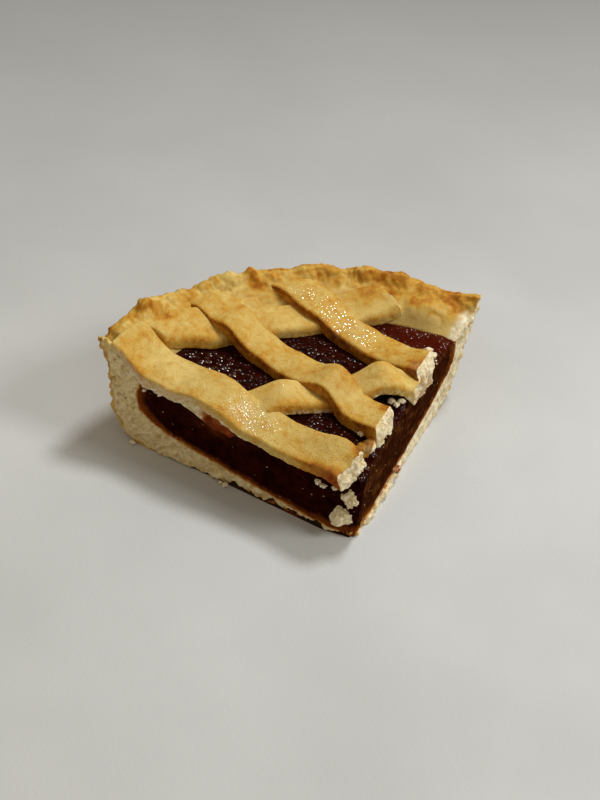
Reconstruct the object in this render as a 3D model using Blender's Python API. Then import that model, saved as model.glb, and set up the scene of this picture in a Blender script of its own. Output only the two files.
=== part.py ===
# A quarter slice of a jam crostata, cut from a 24 cm tart: a shortcrust shell with a tall
# pressed rim, a jam filling that shows on both cut faces, and six lattice strips on the jam.
# Metres, +Z up. The tip points to -Y and the rim is at +Y. The origin is the middle of the
# footprint, on the surface that the slice lies on.
# A place is given by its distance from the tip and its angle from the middle line, or by its
# x and y from the tip; TIP_X and TIP_Y move it into the slice's own frame.

import math

import bmesh
import bpy
import numpy as np
from mathutils import Vector

# The slice
TIP_X = -0.00043
TIP_Y = -0.06012
HALF_ANGLE = math.radians(44.7)
TIP_RADIUS = 0.0015
RIM_RADIUS = 0.1200
RIM_HEIGHT = 0.0468

# The shell's section, from the tip to the wall
FLOOR_TIP_THICKNESS = 0.0024
FLOOR_RISE = 0.0110
FLOOR_RISE_RADIUS = 0.0880
FLOOR_RISE_POWER = 1.45
FLOOR_RADII = (0.022, 0.045, 0.068, 0.086)
WALL_FOOT = (0.0975, 0.0185)
WALL_INNER = (0.1008, 0.0260)
LIP_FOOT = (0.0996, 0.0345)
LIP_MIDDLE = (0.1062, 0.0388)
LIP_TOP = (0.1126, 0.0430)
CREST_RADIUS = 0.1166
CREST_EDGE_DROP = 0.0010
LEDGE = (0.1170, 0.0385)
WALL_OUTER = ((0.1147, 0.0300), (0.1128, 0.0190), (0.1098, 0.0095), (0.1042, 0.0026))
BASE_RADIUS = 0.0975

# The pressed ridges of the rim: angle and half width in degrees, height
RIM_RIDGES = (
    (-45.0, 1.3, 0.0024),
    (-42.8, 1.2, -0.0036),
    (-38.0, 2.6, 0.0012),
    (-32.4, 2.0, 0.0040),
    (-29.0, 2.8, 0.0030),
    (-24.8, 2.4, 0.0016),
    (-18.6, 1.6, -0.0016),
    (-10.0, 3.4, 0.0021),
    (-4.9, 1.4, 0.0030),
    (4.1, 2.0, -0.0018),
    (11.6, 3.0, 0.0020),
    (19.8, 2.6, 0.0020),
    (27.4, 2.0, 0.0012),
    (38.8, 2.6, -0.0012),
    (44.4, 1.6, 0.0012),
)
RIM_WAVER = 0.0009
RIM_WAVER_COUNT = 9.0

# The cut faces are not quite upright: how far each stands out at the base and at the top
LEFT_BASE_FLARE = 0.0022
LEFT_FLARE_REACH = 0.070
LEFT_FLARE_HEIGHT = 0.0156
RIGHT_BASE_FLARE = 0.0006
RIGHT_TOP_FLARE = -0.0036
RIGHT_RIM_FLARE = 0.0012
RIGHT_WALL = (0.088, 0.112)
FLARE_START = math.radians(20.0)
FLARE_TIP_FADE = (0.001, 0.014)

# The jam
JAM_LEVEL = 0.0336
JAM_TIP_DIP = 0.0030
JAM_TIP_DIP_RADIUS = 0.038
JAM_LEFT_DIP = 0.0025
JAM_WAVE = 0.0005
JAM_WAVES_PER_METRE = (48.0, 39.0)

# The strips
STRIP_THICKNESS = 0.0062
STRIP_SINK = 0.0010
STRIP_SQUARENESS = 0.46
STRIP_EDGE_DROP = 0.0008
STRIP_EDGE_FOLLOW = 0.6
LIFT_HALF_LENGTH = 0.0105
RIM_BLEND = (0.096, 0.113)
END_ROUNDING = 0.0012
END_SCALE = 0.82
STRIP_RIM_RADIUS = 0.1142
STRIP_RIM_HEIGHT = 0.0472
BESIDE_GAP = 0.0005
LIMIT_ROUNDS = 40
LIMIT_STEP = 0.7

# Where two pieces touch, they keep this much apart
GAP = 0.0003
CORNER_LIMIT = 2.0
OPEN_END = 0.0040

# Resolution
CURVE_STEPS = 2
SHELL_STEPS = 36
JAM_STEPS = 18
JAM_RINGS = 11
STRIP_STEPS = 20
STRIP_SIDES = 12
SHARP_ANGLE = math.radians(40.0)


def smoothstep(value, low, high):
    share = np.clip((value - low) / (high - low), 0.0, 1.0)
    return share * share * (3.0 - 2.0 * share)


def smooth_curve(points, steps):
    """Points on a Catmull-Rom curve through the given ones, with steps on each stretch."""
    points = [np.array(point, dtype=float) for point in points]
    ends = [2.0 * points[0] - points[1]] + points + [2.0 * points[-1] - points[-2]]
    curve = []
    for index in range(1, len(ends) - 2):
        before, start, finish, after = ends[index - 1:index + 3]
        for step in range(steps):
            t = step / steps
            curve.append(0.5 * (2.0 * start + (finish - before) * t
                                + (2.0 * before - 5.0 * start + 4.0 * finish - after) * t ** 2
                                + (3.0 * start - before - 3.0 * finish + after) * t ** 3))
    curve.append(points[-1])
    return curve


# Heights and places

def floor_top(radius):
    """Top of the shell's floor, thin at the tip and thick at the wall."""
    return FLOOR_TIP_THICKNESS + FLOOR_RISE * (radius / FLOOR_RISE_RADIUS) ** FLOOR_RISE_POWER


def crest_height(angle):
    """Height of the rim's hand-pressed crest."""
    degrees = math.degrees(angle)
    height = RIM_HEIGHT + RIM_WAVER * math.sin(RIM_WAVER_COUNT * 2.0 * angle)
    for middle, half_width, rise in RIM_RIDGES:
        height += rise * math.exp(-((degrees - middle) / half_width) ** 2)
    return height


def jam_top(x, y):
    """Level of the jam, lower at the tip and along the left cut."""
    radius = np.hypot(x, y)
    left = smoothstep(-np.arctan2(x, y), math.radians(20.0), math.radians(44.0))
    level = JAM_LEVEL - JAM_TIP_DIP * np.exp(-(radius / JAM_TIP_DIP_RADIUS) ** 2)
    level = level - JAM_LEFT_DIP * left * (1.0 - smoothstep(radius, 0.045, 0.075))
    across, along = (2.0 * math.pi * count for count in JAM_WAVES_PER_METRE)
    return level + JAM_WAVE * np.sin(x * across) * np.cos(y * along)


def flare(x, y, z):
    """How far a point near a cut face moves outwards, square to that face."""
    angle = math.atan2(x, y)
    radius = math.hypot(x, y)
    weight = float(smoothstep(abs(angle), FLARE_START, HALF_ANGLE))
    weight *= float(smoothstep(radius, *FLARE_TIP_FADE))
    share = z / RIM_HEIGHT
    if angle < 0.0:
        near_tip = max(0.0, 1.0 - radius / LEFT_FLARE_REACH)
        return weight * LEFT_BASE_FLARE * near_tip * max(0.0, 1.0 - z / LEFT_FLARE_HEIGHT)
    at_wall = float(smoothstep(radius, *RIGHT_WALL))
    top = RIGHT_TOP_FLARE + (RIGHT_RIM_FLARE - RIGHT_TOP_FLARE) * at_wall
    return weight * (RIGHT_BASE_FLARE + (top - RIGHT_BASE_FLARE) * share)


def place(x, y, z):
    """A point given from the tip, in the slice's own frame and with the cut faces' flare."""
    side = -1.0 if x < 0.0 else 1.0
    out = flare(x, y, z)
    moved_x = x + side * out * math.cos(HALF_ANGLE)
    return (moved_x + TIP_X, y - out * math.sin(HALF_ANGLE) + TIP_Y, z)


def cut_distance(x, y, z, side):
    """Distance of a point inside the cut face on that side, -1 left and 1 right."""
    radius = math.hypot(x, y)
    lean = flare(side * radius * math.sin(HALF_ANGLE), radius * math.cos(HALF_ANGLE), z)
    return lean - (side * x * math.cos(HALF_ANGLE) - y * math.sin(HALF_ANGLE))


# Mesh building

def make_object(name, vertices, faces, material):
    mesh = bpy.data.meshes.new(name)
    mesh.from_pydata([tuple(vertex) for vertex in vertices], [], faces)
    work = bmesh.new()
    work.from_mesh(mesh)
    bmesh.ops.recalc_face_normals(work, faces=work.faces)
    work.to_mesh(mesh)
    work.free()
    mesh.shade_smooth()
    mesh.set_sharp_from_angle(angle=SHARP_ANGLE)
    piece = bpy.data.objects.new(name, mesh)
    bpy.context.collection.objects.link(piece)
    piece.data.materials.append(material)
    return piece


def loft(name, rings, material, fan_ends=False):
    """A closed solid through rings of equal counts of points, with one face at each end.

    fan_ends gives each end a middle point instead, for rings that don't lie in a plane. The
    sides are split into triangles alike, so a grown solid stays outside the one it holds.
    """
    count = len(rings[0])
    vertices = [point for ring in rings for point in ring]
    faces = []
    for first in (0, (len(rings) - 1) * count):
        if fan_ends:
            vertices.append(np.mean(vertices[first:first + count], axis=0))
            faces += [(first + index, first + (index + 1) % count, len(vertices) - 1)
                      for index in range(count)]
        else:
            faces.append(tuple(range(first, first + count)))
    for ring in range(len(rings) - 1):
        for index in range(count):
            following = (index + 1) % count
            here = ring * count + index
            beside = ring * count + following
            faces.append((here, beside, beside + count))
            faces.append((here, beside + count, here + count))
    return make_object(name, vertices, faces, material)


def grown_copy(piece):
    """A hidden guide of the piece's shape, larger by the gap all round."""
    mesh = piece.data.copy()
    work = bmesh.new()
    work.from_mesh(mesh)
    work.normal_update()
    moves = [vertex.normal * GAP * min(vertex.calc_shell_factor(), CORNER_LIMIT)
             for vertex in work.verts]
    for vertex, move in zip(work.verts, moves):
        vertex.co += move
    work.to_mesh(mesh)
    work.free()
    room = bpy.data.objects.new(piece.name + "_room", mesh)
    room.hide_render = True
    room.display_type = "WIRE"
    bpy.context.collection.objects.link(room)
    return room


def make_material(name, colour, roughness):
    material = bpy.data.materials.new(name)
    material.use_nodes = True
    shader = material.node_tree.nodes["Principled BSDF"]
    shader.inputs["Base Color"].default_value = (*colour, 1.0)
    shader.inputs["Roughness"].default_value = roughness
    material.diffuse_color = (*colour, 1.0)
    return material


def cut_away(piece, cutter):
    """The piece loses the cutter's room."""
    boolean = piece.modifiers.new("cut_" + cutter.name, "BOOLEAN")
    boolean.operation = "DIFFERENCE"
    boolean.object = cutter
    boolean.solver = "EXACT"


# The shell

def inner_profile():
    """The shell's inner side, from the tip along the floor and up to the lip's foot."""
    floor = [(radius, floor_top(radius)) for radius in (TIP_RADIUS, *FLOOR_RADII)]
    return floor + [WALL_FOOT, WALL_INNER, LIP_FOOT]


def shell_profile(angle):
    crest = crest_height(angle)
    inner = smooth_curve(inner_profile(), CURVE_STEPS)
    lip = [LIP_FOOT, LIP_MIDDLE, LIP_TOP, (CREST_RADIUS, crest)]
    edge = (RIM_RADIUS, crest - CREST_EDGE_DROP)
    outer = [LEDGE] + list(WALL_OUTER) + [(BASE_RADIUS, 0.0)]
    base = [(radius, 0.0) for radius in (FLOOR_RADII[2], FLOOR_RADII[0], TIP_RADIUS)]
    lip = smooth_curve(lip, CURVE_STEPS)
    return inner[:-1] + lip + [edge] + smooth_curve(outer, CURVE_STEPS) + base


def make_shell(material):
    rings = []
    for angle in np.linspace(-HALF_ANGLE, HALF_ANGLE, SHELL_STEPS + 1):
        rings.append([place(radius * math.sin(angle), radius * math.cos(angle), z)
                      for radius, z in shell_profile(angle)])
    return loft("crust", rings, material)


# The jam

def jam_outline():
    """The jam's lower outline: the shell's inner side, moved in by the gap."""
    curve = [np.array(point) for point in smooth_curve(inner_profile(), CURVE_STEPS)]
    outline = []
    for index, point in enumerate(curve):
        before = curve[max(index - 1, 0)]
        after = curve[min(index + 1, len(curve) - 1)]
        along = (after - before) / np.linalg.norm(after - before)
        outline.append(point + GAP * np.array((-along[1], along[0])))
    outline[0][0] = TIP_RADIUS
    return outline


def make_jam(material):
    outline = jam_outline()
    wall_radius = outline[-1][0]
    top_radii = np.linspace(wall_radius, TIP_RADIUS, JAM_RINGS)
    rings = []
    for angle in np.linspace(-HALF_ANGLE, HALF_ANGLE, JAM_STEPS + 1):
        flat = [(radius, z) for radius, z in outline[:-1]]
        flat += [(radius, jam_top(radius * math.sin(angle), radius * math.cos(angle)))
                 for radius in top_radii]
        rings.append([place(radius * math.sin(angle), radius * math.cos(angle), float(z))
                      for radius, z in flat])
    return loft("jam", rings, material)


# The lattice strips

class Strip:
    """A flat strip of dough, laid in a straight line across the jam.

    start and finish are the middle of its ends, in plan from the tip. lifts are the places
    along it where it climbs over another strip or is pressed down: distance and height.
    tilt is how much lower its right side lies than its left, at the start and at the finish.
    ends says what ends it: "rim", "rim_beside_front" where the front strip is in the way, the
    "left" or "right" cut face, or "free" for a torn end, which skew turns. inset is how far
    inside a cut face it ends.
    """

    def __init__(self, name, start, finish, widths, lifts, ends, tilt=(0.0, 0.0),
                 skew=0.0, inset=0.0, thickness=STRIP_THICKNESS):
        self.name = name
        self.start = np.array(start)
        self.run = np.array(finish) - self.start
        self.length = float(np.hypot(*self.run))
        self.run = self.run / self.length
        self.side = np.array((-self.run[1], self.run[0]))
        self.widths = widths
        self.lifts = lifts
        self.tilt = tilt
        self.skew = skew
        self.ends = ends
        self.inset = inset
        self.thickness = thickness

    def top(self, distance, across):
        """Height of the strip's middle or of a line beside it."""
        x, y = self.start + self.run * distance + self.side * across
        radius = math.hypot(x, y)
        height = float(jam_top(x, y)) - STRIP_SINK + self.thickness
        for where, rise in self.lifts:
            height += rise * math.exp(-((distance - where) / LIFT_HALF_LENGTH) ** 2)
        on_rim = float(smoothstep(radius, *RIM_BLEND))
        return height * (1.0 - on_rim) + STRIP_RIM_HEIGHT * on_rim

    def distance_beside(self, x, y):
        """How far a point is outside the strip's left edge."""
        across = float(np.dot(np.array((x, y)) - self.start, self.side))
        return across - max(self.widths) * 0.5

    def room_left(self, reach, across, end):
        """How far a point of the strip is inside what ends it."""
        x, y = self.start + self.run * reach + self.side * across
        to_rim = STRIP_RIM_RADIUS - math.hypot(x, y)
        if end == "rim":
            return to_rim
        if end == "rim_beside_front":
            return min(to_rim, FRONT_STRIP.distance_beside(x, y) - BESIDE_GAP)
        side = -1.0 if end == "left" else 1.0
        return cut_distance(x, y, self.top(reach, across), side) - self.inset

    def limit(self, across, which):
        """Distance along the strip at which one of its lines starts or ends."""
        end = self.ends[which]
        if end == "free":
            return self.length * which + self.skew * across
        direction = 1.0 if which else -1.0
        reach = self.length * 0.5
        for _ in range(LIMIT_ROUNDS):
            reach += direction * self.room_left(reach, across, end) * LIMIT_STEP
        return reach

    def ring(self, share, scale=1.0, push=0.0):
        """One cross-section. scale shrinks it and push moves it along the strip."""
        width = self.widths[0] + (self.widths[1] - self.widths[0]) * share
        slope = (self.tilt[0] + (self.tilt[1] - self.tilt[0]) * share) / width
        points = []
        for index in range(STRIP_SIDES):
            turn = 2.0 * math.pi * (index + 0.5) / STRIP_SIDES
            across = math.copysign(abs(math.cos(turn)) ** STRIP_SQUARENESS, math.cos(turn))
            up = math.copysign(abs(math.sin(turn)) ** STRIP_SQUARENESS, math.sin(turn))
            offset = across * width * 0.5 * scale
            reach = self.limit(offset, 0) * (1.0 - share) + self.limit(offset, 1) * share + push
            x, y = self.start + self.run * reach + self.side * offset
            middle = self.top(reach, offset * STRIP_EDGE_FOLLOW) - self.thickness * 0.5
            z = middle + up * self.thickness * 0.5 * scale + slope * offset
            z -= STRIP_EDGE_DROP * across ** 2 * (up > 0.0)
            points.append((x + TIP_X, y + TIP_Y, z))
        return points

    def build(self, material):
        rings = [self.ring(0.0, END_SCALE, -END_ROUNDING)]
        rings += [self.ring(float(share)) for share in np.linspace(0.0, 1.0, STRIP_STEPS + 1)]
        rings.append(self.ring(1.0, END_SCALE, END_ROUNDING))
        return loft(self.name, rings, material, fan_ends=True)

    def build_room(self, piece):
        """The room that the strip takes up: its solid, grown by the gap and out of a cut."""
        room = grown_copy(piece)
        points = room.data.vertices
        for which, ring, middle in ((0, 0, -2), (1, STRIP_STEPS + 2, -1)):
            if self.ends[which] in ("left", "right"):
                out = Vector((*self.run, 0.0)) * OPEN_END * (1.0 if which else -1.0)
                inner = (1 if which == 0 else ring - 1) * STRIP_SIDES
                for index in range(STRIP_SIDES):
                    points[ring * STRIP_SIDES + index].co = points[inner + index].co + out
                points[middle].co += out
        return room


FRONT_STRIP = Strip(
    "strip_front", (-0.0715, 0.0862), (-0.0048, 0.0065), (0.0214, 0.0160),
    ((0.042, 0.0026), (0.094, 0.0030)), ("rim", "free"), tilt=(0.0, 0.0065), skew=0.25)

UPPER_STRIPS = (
    FRONT_STRIP,
    Strip("strip_middle", (-0.0318, 0.1060), (0.0186, 0.0205), (0.0172, 0.0150),
          ((0.015, 0.0060), (0.067, 0.0070), (0.098, 0.0050)), ("rim", "right"),
          tilt=(0.0, 0.0015), inset=0.0016),
    Strip("strip_rear", (0.0050, 0.1155), (0.0470, 0.0480), (0.0168, 0.0160),
          ((0.020, 0.0040), (0.076, 0.0056)), ("rim", "right"), tilt=(0.0, 0.0010),
          inset=0.0016),
)

CROSS_STRIPS = (
    Strip("cross_strip_rear", (-0.0620, 0.0940), (0.0465, 0.0965), (0.0172, 0.0160),
          ((0.022, 0.0016), (0.057, 0.0006)), ("rim_beside_front", "free"), skew=-0.5),
    Strip("cross_strip_middle", (-0.0480, 0.0480), (0.0420, 0.0465), (0.0170, 0.0150),
          ((0.004, -0.0050), (0.030, 0.0026), (0.072, 0.0066)), ("left", "right")),
    Strip("cross_strip_tip", (-0.0140, 0.0165), (0.0150, 0.0185), (0.0080, 0.0085),
          ((0.008, -0.0034), (0.026, 0.0010)), ("left", "right"), inset=0.0012,
          thickness=0.0052),
)


# The crumb clumps stuck to the jam's left cut face near the tip: distance from the tip along
# the face, height of the middle, half length, half height and how far they stand out
CRUMB_CLUMPS = (
    ("crumb_clump_upper", 0.0042, 0.0203, 0.0028, 0.0039, 0.0020),
    ("crumb_clump_lower", 0.0060, 0.0104, 0.0048, 0.0043, 0.0028),
)
CLUMP_LUMPS = 0.18
CLUMP_WAVES = (3.1, 2.7)


def build_clump(name, along, height, half_length, half_height, depth, material):
    """A lumpy ball pressed into the jam's left face."""
    work = bmesh.new()
    bmesh.ops.create_icosphere(work, subdivisions=2, radius=1.0)
    face_run = np.array((-math.sin(HALF_ANGLE), math.cos(HALF_ANGLE)))
    face_out = np.array((-math.cos(HALF_ANGLE), -math.sin(HALF_ANGLE)))
    for vertex in work.verts:
        u, out, up = vertex.co
        phase = CLUMP_WAVES[0] * u + height / half_height
        lump = 1.0 + CLUMP_LUMPS * math.sin(phase) * math.cos(CLUMP_WAVES[1] * up)
        x, y = face_run * (along + half_length * lump * u) + face_out * depth * lump * out
        vertex.co = place(x, y, height + half_height * lump * up)
    mesh = bpy.data.meshes.new(name)
    work.to_mesh(mesh)
    work.free()
    mesh.shade_smooth()
    piece = bpy.data.objects.new(name, mesh)
    bpy.context.collection.objects.link(piece)
    piece.data.materials.append(material)
    return piece


def main():
    for old in list(bpy.data.objects):
        bpy.data.objects.remove(old, do_unlink=True)

    crust_material = make_material("crust", (0.72, 0.50, 0.26), 0.75)
    jam_material = make_material("jam", (0.07, 0.010, 0.008), 0.18)
    top_material = make_material("lattice_top", (0.68, 0.40, 0.15), 0.50)
    cross_material = make_material("lattice_lower", (0.78, 0.56, 0.28), 0.60)
    crumb_material = make_material("crumb", (0.80, 0.66, 0.44), 0.85)

    shell = make_shell(crust_material)
    jam = make_jam(jam_material)

    upper_rooms = [strip.build_room(strip.build(top_material)) for strip in UPPER_STRIPS]
    cross_rooms = []
    for strip in CROSS_STRIPS:
        piece = strip.build(cross_material)
        cross_rooms.append(strip.build_room(piece))
        for room in upper_rooms:
            cut_away(piece, room)
    for room in upper_rooms + cross_rooms:
        cut_away(shell, room)
        cut_away(jam, room)

    for clump in CRUMB_CLUMPS:
        cut_away(jam, grown_copy(build_clump(*clump, crumb_material)))


main()
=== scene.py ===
# A quarter slice of a jam crostata, dressed over its solids: a shortcrust shell, a jam filling,
# six lattice strips, two clumps of crumb on the jam and some loose crumbs.
# Metres, +Z up. The tip points to -Y and the rim is at +Y. A place is given from the tip, by
# x and y or by radius and angle from the middle line; TIP moves it into the slice's frame.

import itertools
import math
from dataclasses import dataclass

import bmesh
import bpy
import numpy as np
from mathutils import Matrix, Vector


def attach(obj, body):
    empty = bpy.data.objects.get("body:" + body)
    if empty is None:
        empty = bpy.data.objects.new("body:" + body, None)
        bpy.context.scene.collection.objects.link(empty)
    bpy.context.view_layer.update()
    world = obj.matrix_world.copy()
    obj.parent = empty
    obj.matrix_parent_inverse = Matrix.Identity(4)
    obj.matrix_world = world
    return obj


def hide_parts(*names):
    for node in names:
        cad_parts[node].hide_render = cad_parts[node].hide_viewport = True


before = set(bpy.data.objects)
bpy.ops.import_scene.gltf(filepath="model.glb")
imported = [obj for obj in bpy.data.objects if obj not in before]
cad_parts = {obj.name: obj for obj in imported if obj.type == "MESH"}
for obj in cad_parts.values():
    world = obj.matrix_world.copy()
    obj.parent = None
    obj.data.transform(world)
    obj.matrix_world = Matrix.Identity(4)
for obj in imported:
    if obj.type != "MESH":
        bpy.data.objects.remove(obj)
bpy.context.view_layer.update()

# The slice
TIP = np.array((-0.00043, -0.06012))
HALF_ANGLE = math.radians(44.7)
TIP_RADIUS = 0.0015
RIM_RADIUS = 0.1200
RIM_HEIGHT = 0.0468

# The shell's section, from the tip to the wall
FLOOR_TIP_THICKNESS = 0.0024
FLOOR_RISE = 0.0110
FLOOR_RISE_RADIUS = 0.0880
FLOOR_RISE_POWER = 1.45
FLOOR_RADII = (0.022, 0.045, 0.068, 0.086)
WALL_FOOT = (0.0975, 0.0185)
WALL_INNER = (0.1008, 0.0260)
LIP_FOOT = (0.0996, 0.0345)
LIP_MIDDLE = (0.1062, 0.0388)
LIP_TOP = (0.1126, 0.0430)
CREST_RADIUS = 0.1166
CREST_EDGE_DROP = 0.0010
LEDGE = (0.1170, 0.0385)
WALL_OUTER = ((0.1147, 0.0300), (0.1128, 0.0190), (0.1098, 0.0095), (0.1042, 0.0026))
BASE_RADIUS = 0.0975
LIP_KNOT = 7
LEDGE_KNOT = 9
CREST_KNOT = 10
BASE_KNOT = 4
OUTER_START = 2 * CREST_KNOT + 1
WALL_START_HEIGHT = 0.0005

# The pressed ridges of the rim: angle and half width in degrees, height
RIM_RIDGES = (
    (-45.0, 1.3, 0.0024),
    (-42.8, 1.2, -0.0036),
    (-38.0, 2.6, 0.0012),
    (-32.4, 2.0, 0.0040),
    (-29.0, 2.8, 0.0030),
    (-24.8, 2.4, 0.0016),
    (-18.6, 1.6, -0.0016),
    (-10.0, 3.4, 0.0021),
    (-4.9, 1.4, 0.0030),
    (4.1, 2.0, -0.0018),
    (11.6, 3.0, 0.0020),
    (19.8, 2.6, 0.0020),
    (27.4, 2.0, 0.0012),
    (38.8, 2.6, -0.0012),
    (44.4, 1.6, 0.0012),
)
RIM_WAVER = 0.0009
RIM_WAVER_RATE = 18.0

# Where the rim is baked more or less: angle and half width in degrees, difference
RIM_TONES = (
    (-32.0, 3.0, 0.08),
    (-26.0, 2.0, -0.04),
    (-10.7, 3.0, -0.34),
    (-5.0, 1.6, 0.34),
    (0.0, 2.0, 0.12),
    (9.0, 4.0, 0.04),
    (33.0, 10.0, 0.10),
)

# Where the lip swells around the ends of strips: angle and half width in degrees, height
LIP_SWELLS = (
    (-29.0, 6.5, 0.0022),
    (-16.7, 4.5, 0.0012),
    (2.5, 4.5, 0.0012),
    (33.0, 7.5, 0.0038),
)
LIP_SWELL_IN = 0.4
LIP_SWELL_TOP = 0.6

# The cut faces are not quite upright: how far each stands out at the base and at the top
LEFT_BASE_FLARE = 0.0022
LEFT_FLARE_REACH = 0.070
LEFT_FLARE_HEIGHT = 0.0156
RIGHT_BASE_FLARE = 0.0006
RIGHT_TOP_FLARE = -0.0036
RIGHT_RIM_FLARE = 0.0012
RIGHT_WALL = (0.088, 0.112)
FLARE_START = math.radians(20.0)
FLARE_TIP_FADE = (0.001, 0.014)

# The broken foot of the floor along the left cut, painted near black as scorched crust and as the
# shadow of the gap under it: height, radius where it is tallest and half width of that notch,
# and how deep it is
FOOT_HEIGHTS = (0.0003, 0.0019, 0.0022)
FOOT_NOTCH = (0.0535, 0.0036)
FOOT_FADE = (0.046, 0.052)
FOOT_DEPTH = 0.0007

# The jam
JAM_LEVEL = 0.0336
JAM_TIP_DIP = 0.0030
JAM_TIP_DIP_RADIUS = 0.038
JAM_LEFT_DIP = 0.0025
JAM_LEFT_DIP_ANGLES = (math.radians(20.0), math.radians(44.0))
JAM_LEFT_DIP_RADII = (0.045, 0.075)
JAM_WAVE = 0.0005
JAM_WAVES_PER_METRE = (48.0, 39.0)
JAM_WALL_KNOT = 6.85
MENISCUS_RISE = 0.0007
MENISCUS_WIDTH = 0.0022
JAM_EDGE_ROUNDING = 0.0022

# The strips
STRIP_THICKNESS = 0.0062
STRIP_SINK = 0.0010
STRIP_FOOT_ROUNDING = 0.0008
STRIP_EDGE_DROP = 0.0006
STRIP_EDGE_FOLLOW = 0.6
FOOT_RISE_PLACE = (0.066, 0.034)
LIFT_HALF_LENGTH = 0.0105
LEAN_SHARES = (0.90, 1.0)
DROOP_SHARES = (0.93, 1.0)
RIM_BLEND = (0.096, 0.113)
STRIP_RIM_RADIUS = 0.1142
STRIP_RIM_HEIGHT = 0.0472
MELT_REACH = 0.0016
MELT_DROP = 0.0032
MELT_BLEND = (0.1060, 0.1155)
BESIDE_GAP = 0.0005
LIMIT_ROUNDS = 40
LIMIT_STEP = 0.7
LIMIT_LINES = 31
STRIP_STAIN_LIMIT = 0.60

# Fineness of the surfaces
SKIN_SPACING = 0.00055
CUT_SPACING = 0.00040
JAM_SPACING = 0.00062
JAM_CUT_SPACING = 0.00046
STRIP_SPACING = 0.00046
SHELL_CUT_ROWS = 30
JAM_CUT_ROWS = 52
CAP_RINGS = 16
CAP_EDGE_STATIONS = 4
CORNER_STATIONS = 12
CURVE_STATIONS = 3000
HIDDEN_STATIONS = 16
BASE_STATIONS = 60
TOP_STATIONS = 8
SKIN_STATIONS = 160
JAM_SIDE_STATIONS = 260
JAM_BOTTOM_STATIONS = 30

# Noise: how often it repeats, how strong it is, how far its cells stray and how wide pits are
LATTICE = 32
NOISE_GAIN = 1.3
CELL_SCATTER = 0.45
PIT_RADIUS = 0.28
PIT_RADIUS_SPREAD = 0.16
PIT_EDGE = 0.16


# Noise

def smoothstep(value, low, high):
    share = np.clip((value - low) / (high - low), 0.0, 1.0)
    return share * share * (3.0 - 2.0 * share)


def falloff(value, low, high):
    return 1.0 - smoothstep(value, low, high)


def hump(value, middle, half_width):
    return np.exp(-((value - middle) / half_width) ** 2)


def lattice_values(seed, width):
    """Random numbers from -1 to 1 on a repeating lattice, the same on every run."""
    return np.random.default_rng(seed).uniform(-1.0, 1.0, (LATTICE, LATTICE, LATTICE, width))


def noise(points, size, seed):
    """Smooth noise from about -1 to 1, with lumps of about the given size."""
    table = lattice_values(seed, 3)
    scaled = points / size
    cell = np.floor(scaled).astype(int)
    part = scaled - cell
    fade = part ** 3 * (part * (part * 6.0 - 15.0) + 10.0)
    total = np.zeros(len(points))
    for corner in itertools.product((0, 1), repeat=3):
        slope = table[tuple(((cell + corner) % LATTICE).T)]
        weight = np.prod(np.where(corner, fade, 1.0 - fade), axis=1)
        total += weight * np.sum(slope * (part - corner), axis=1)
    return total * NOISE_GAIN


def rough(points, size, octaves, seed):
    """Noise with finer lumps on the lumps."""
    total = np.zeros(len(points))
    for octave in range(octaves):
        total += noise(points, size * 0.5 ** octave, seed + octave) * 0.5 ** octave
    return total


def cells(points, size, seed):
    """Distance to the nearest of scattered seeds, in sizes, and that seed's own number."""
    shifts = lattice_values(seed, 3)
    numbers = lattice_values(seed + 1, 1)[..., 0]
    scaled = points / size
    cell = np.floor(scaled).astype(int)
    nearest = np.full(len(points), np.inf)
    own = np.zeros(len(points))
    for step in itertools.product((-1, 0, 1), repeat=3):
        corner = cell + step
        index = tuple((corner % LATTICE).T)
        middle = corner + 0.5 + CELL_SCATTER * shifts[index]
        distance = np.linalg.norm(scaled - middle, axis=1)
        closer = distance < nearest
        own = np.where(closer, numbers[index], own)
        nearest = np.minimum(nearest, distance)
    return nearest, own


def pits(points, size, share, seed):
    """Depths from 0 to 1 of round pits scattered over some share of the cells."""
    nearest, own = cells(points, size, seed)
    radius = PIT_RADIUS + PIT_RADIUS_SPREAD * own
    return smoothstep(radius - nearest, 0.0, PIT_EDGE) * (own > 1.0 - 2.0 * share)


# Heights and places

def floor_top(radius):
    return FLOOR_TIP_THICKNESS + FLOOR_RISE * (radius / FLOOR_RISE_RADIUS) ** FLOOR_RISE_POWER


def humps(angle, rows):
    """The sum of humps along the rim, each with its angle and half width in degrees."""
    degrees = np.degrees(angle)
    return sum(rise * hump(degrees, middle, half_width) for middle, half_width, rise in rows)


def crest_height(angle):
    """Height of the rim's hand-pressed crest."""
    waver = RIM_WAVER * np.sin(RIM_WAVER_RATE * angle)
    return RIM_HEIGHT + waver + humps(angle, RIM_RIDGES)


def jam_top(x, y):
    """Level of the jam, lower at the tip and along the left cut."""
    radius = np.hypot(x, y)
    left = smoothstep(-np.arctan2(x, y), *JAM_LEFT_DIP_ANGLES)
    left = left * falloff(radius, *JAM_LEFT_DIP_RADII)
    level = JAM_LEVEL - JAM_TIP_DIP * hump(radius, 0.0, JAM_TIP_DIP_RADIUS) - JAM_LEFT_DIP * left
    across, along = (2.0 * math.pi * count for count in JAM_WAVES_PER_METRE)
    return level + JAM_WAVE * np.sin(x * across) * np.cos(y * along)


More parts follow.
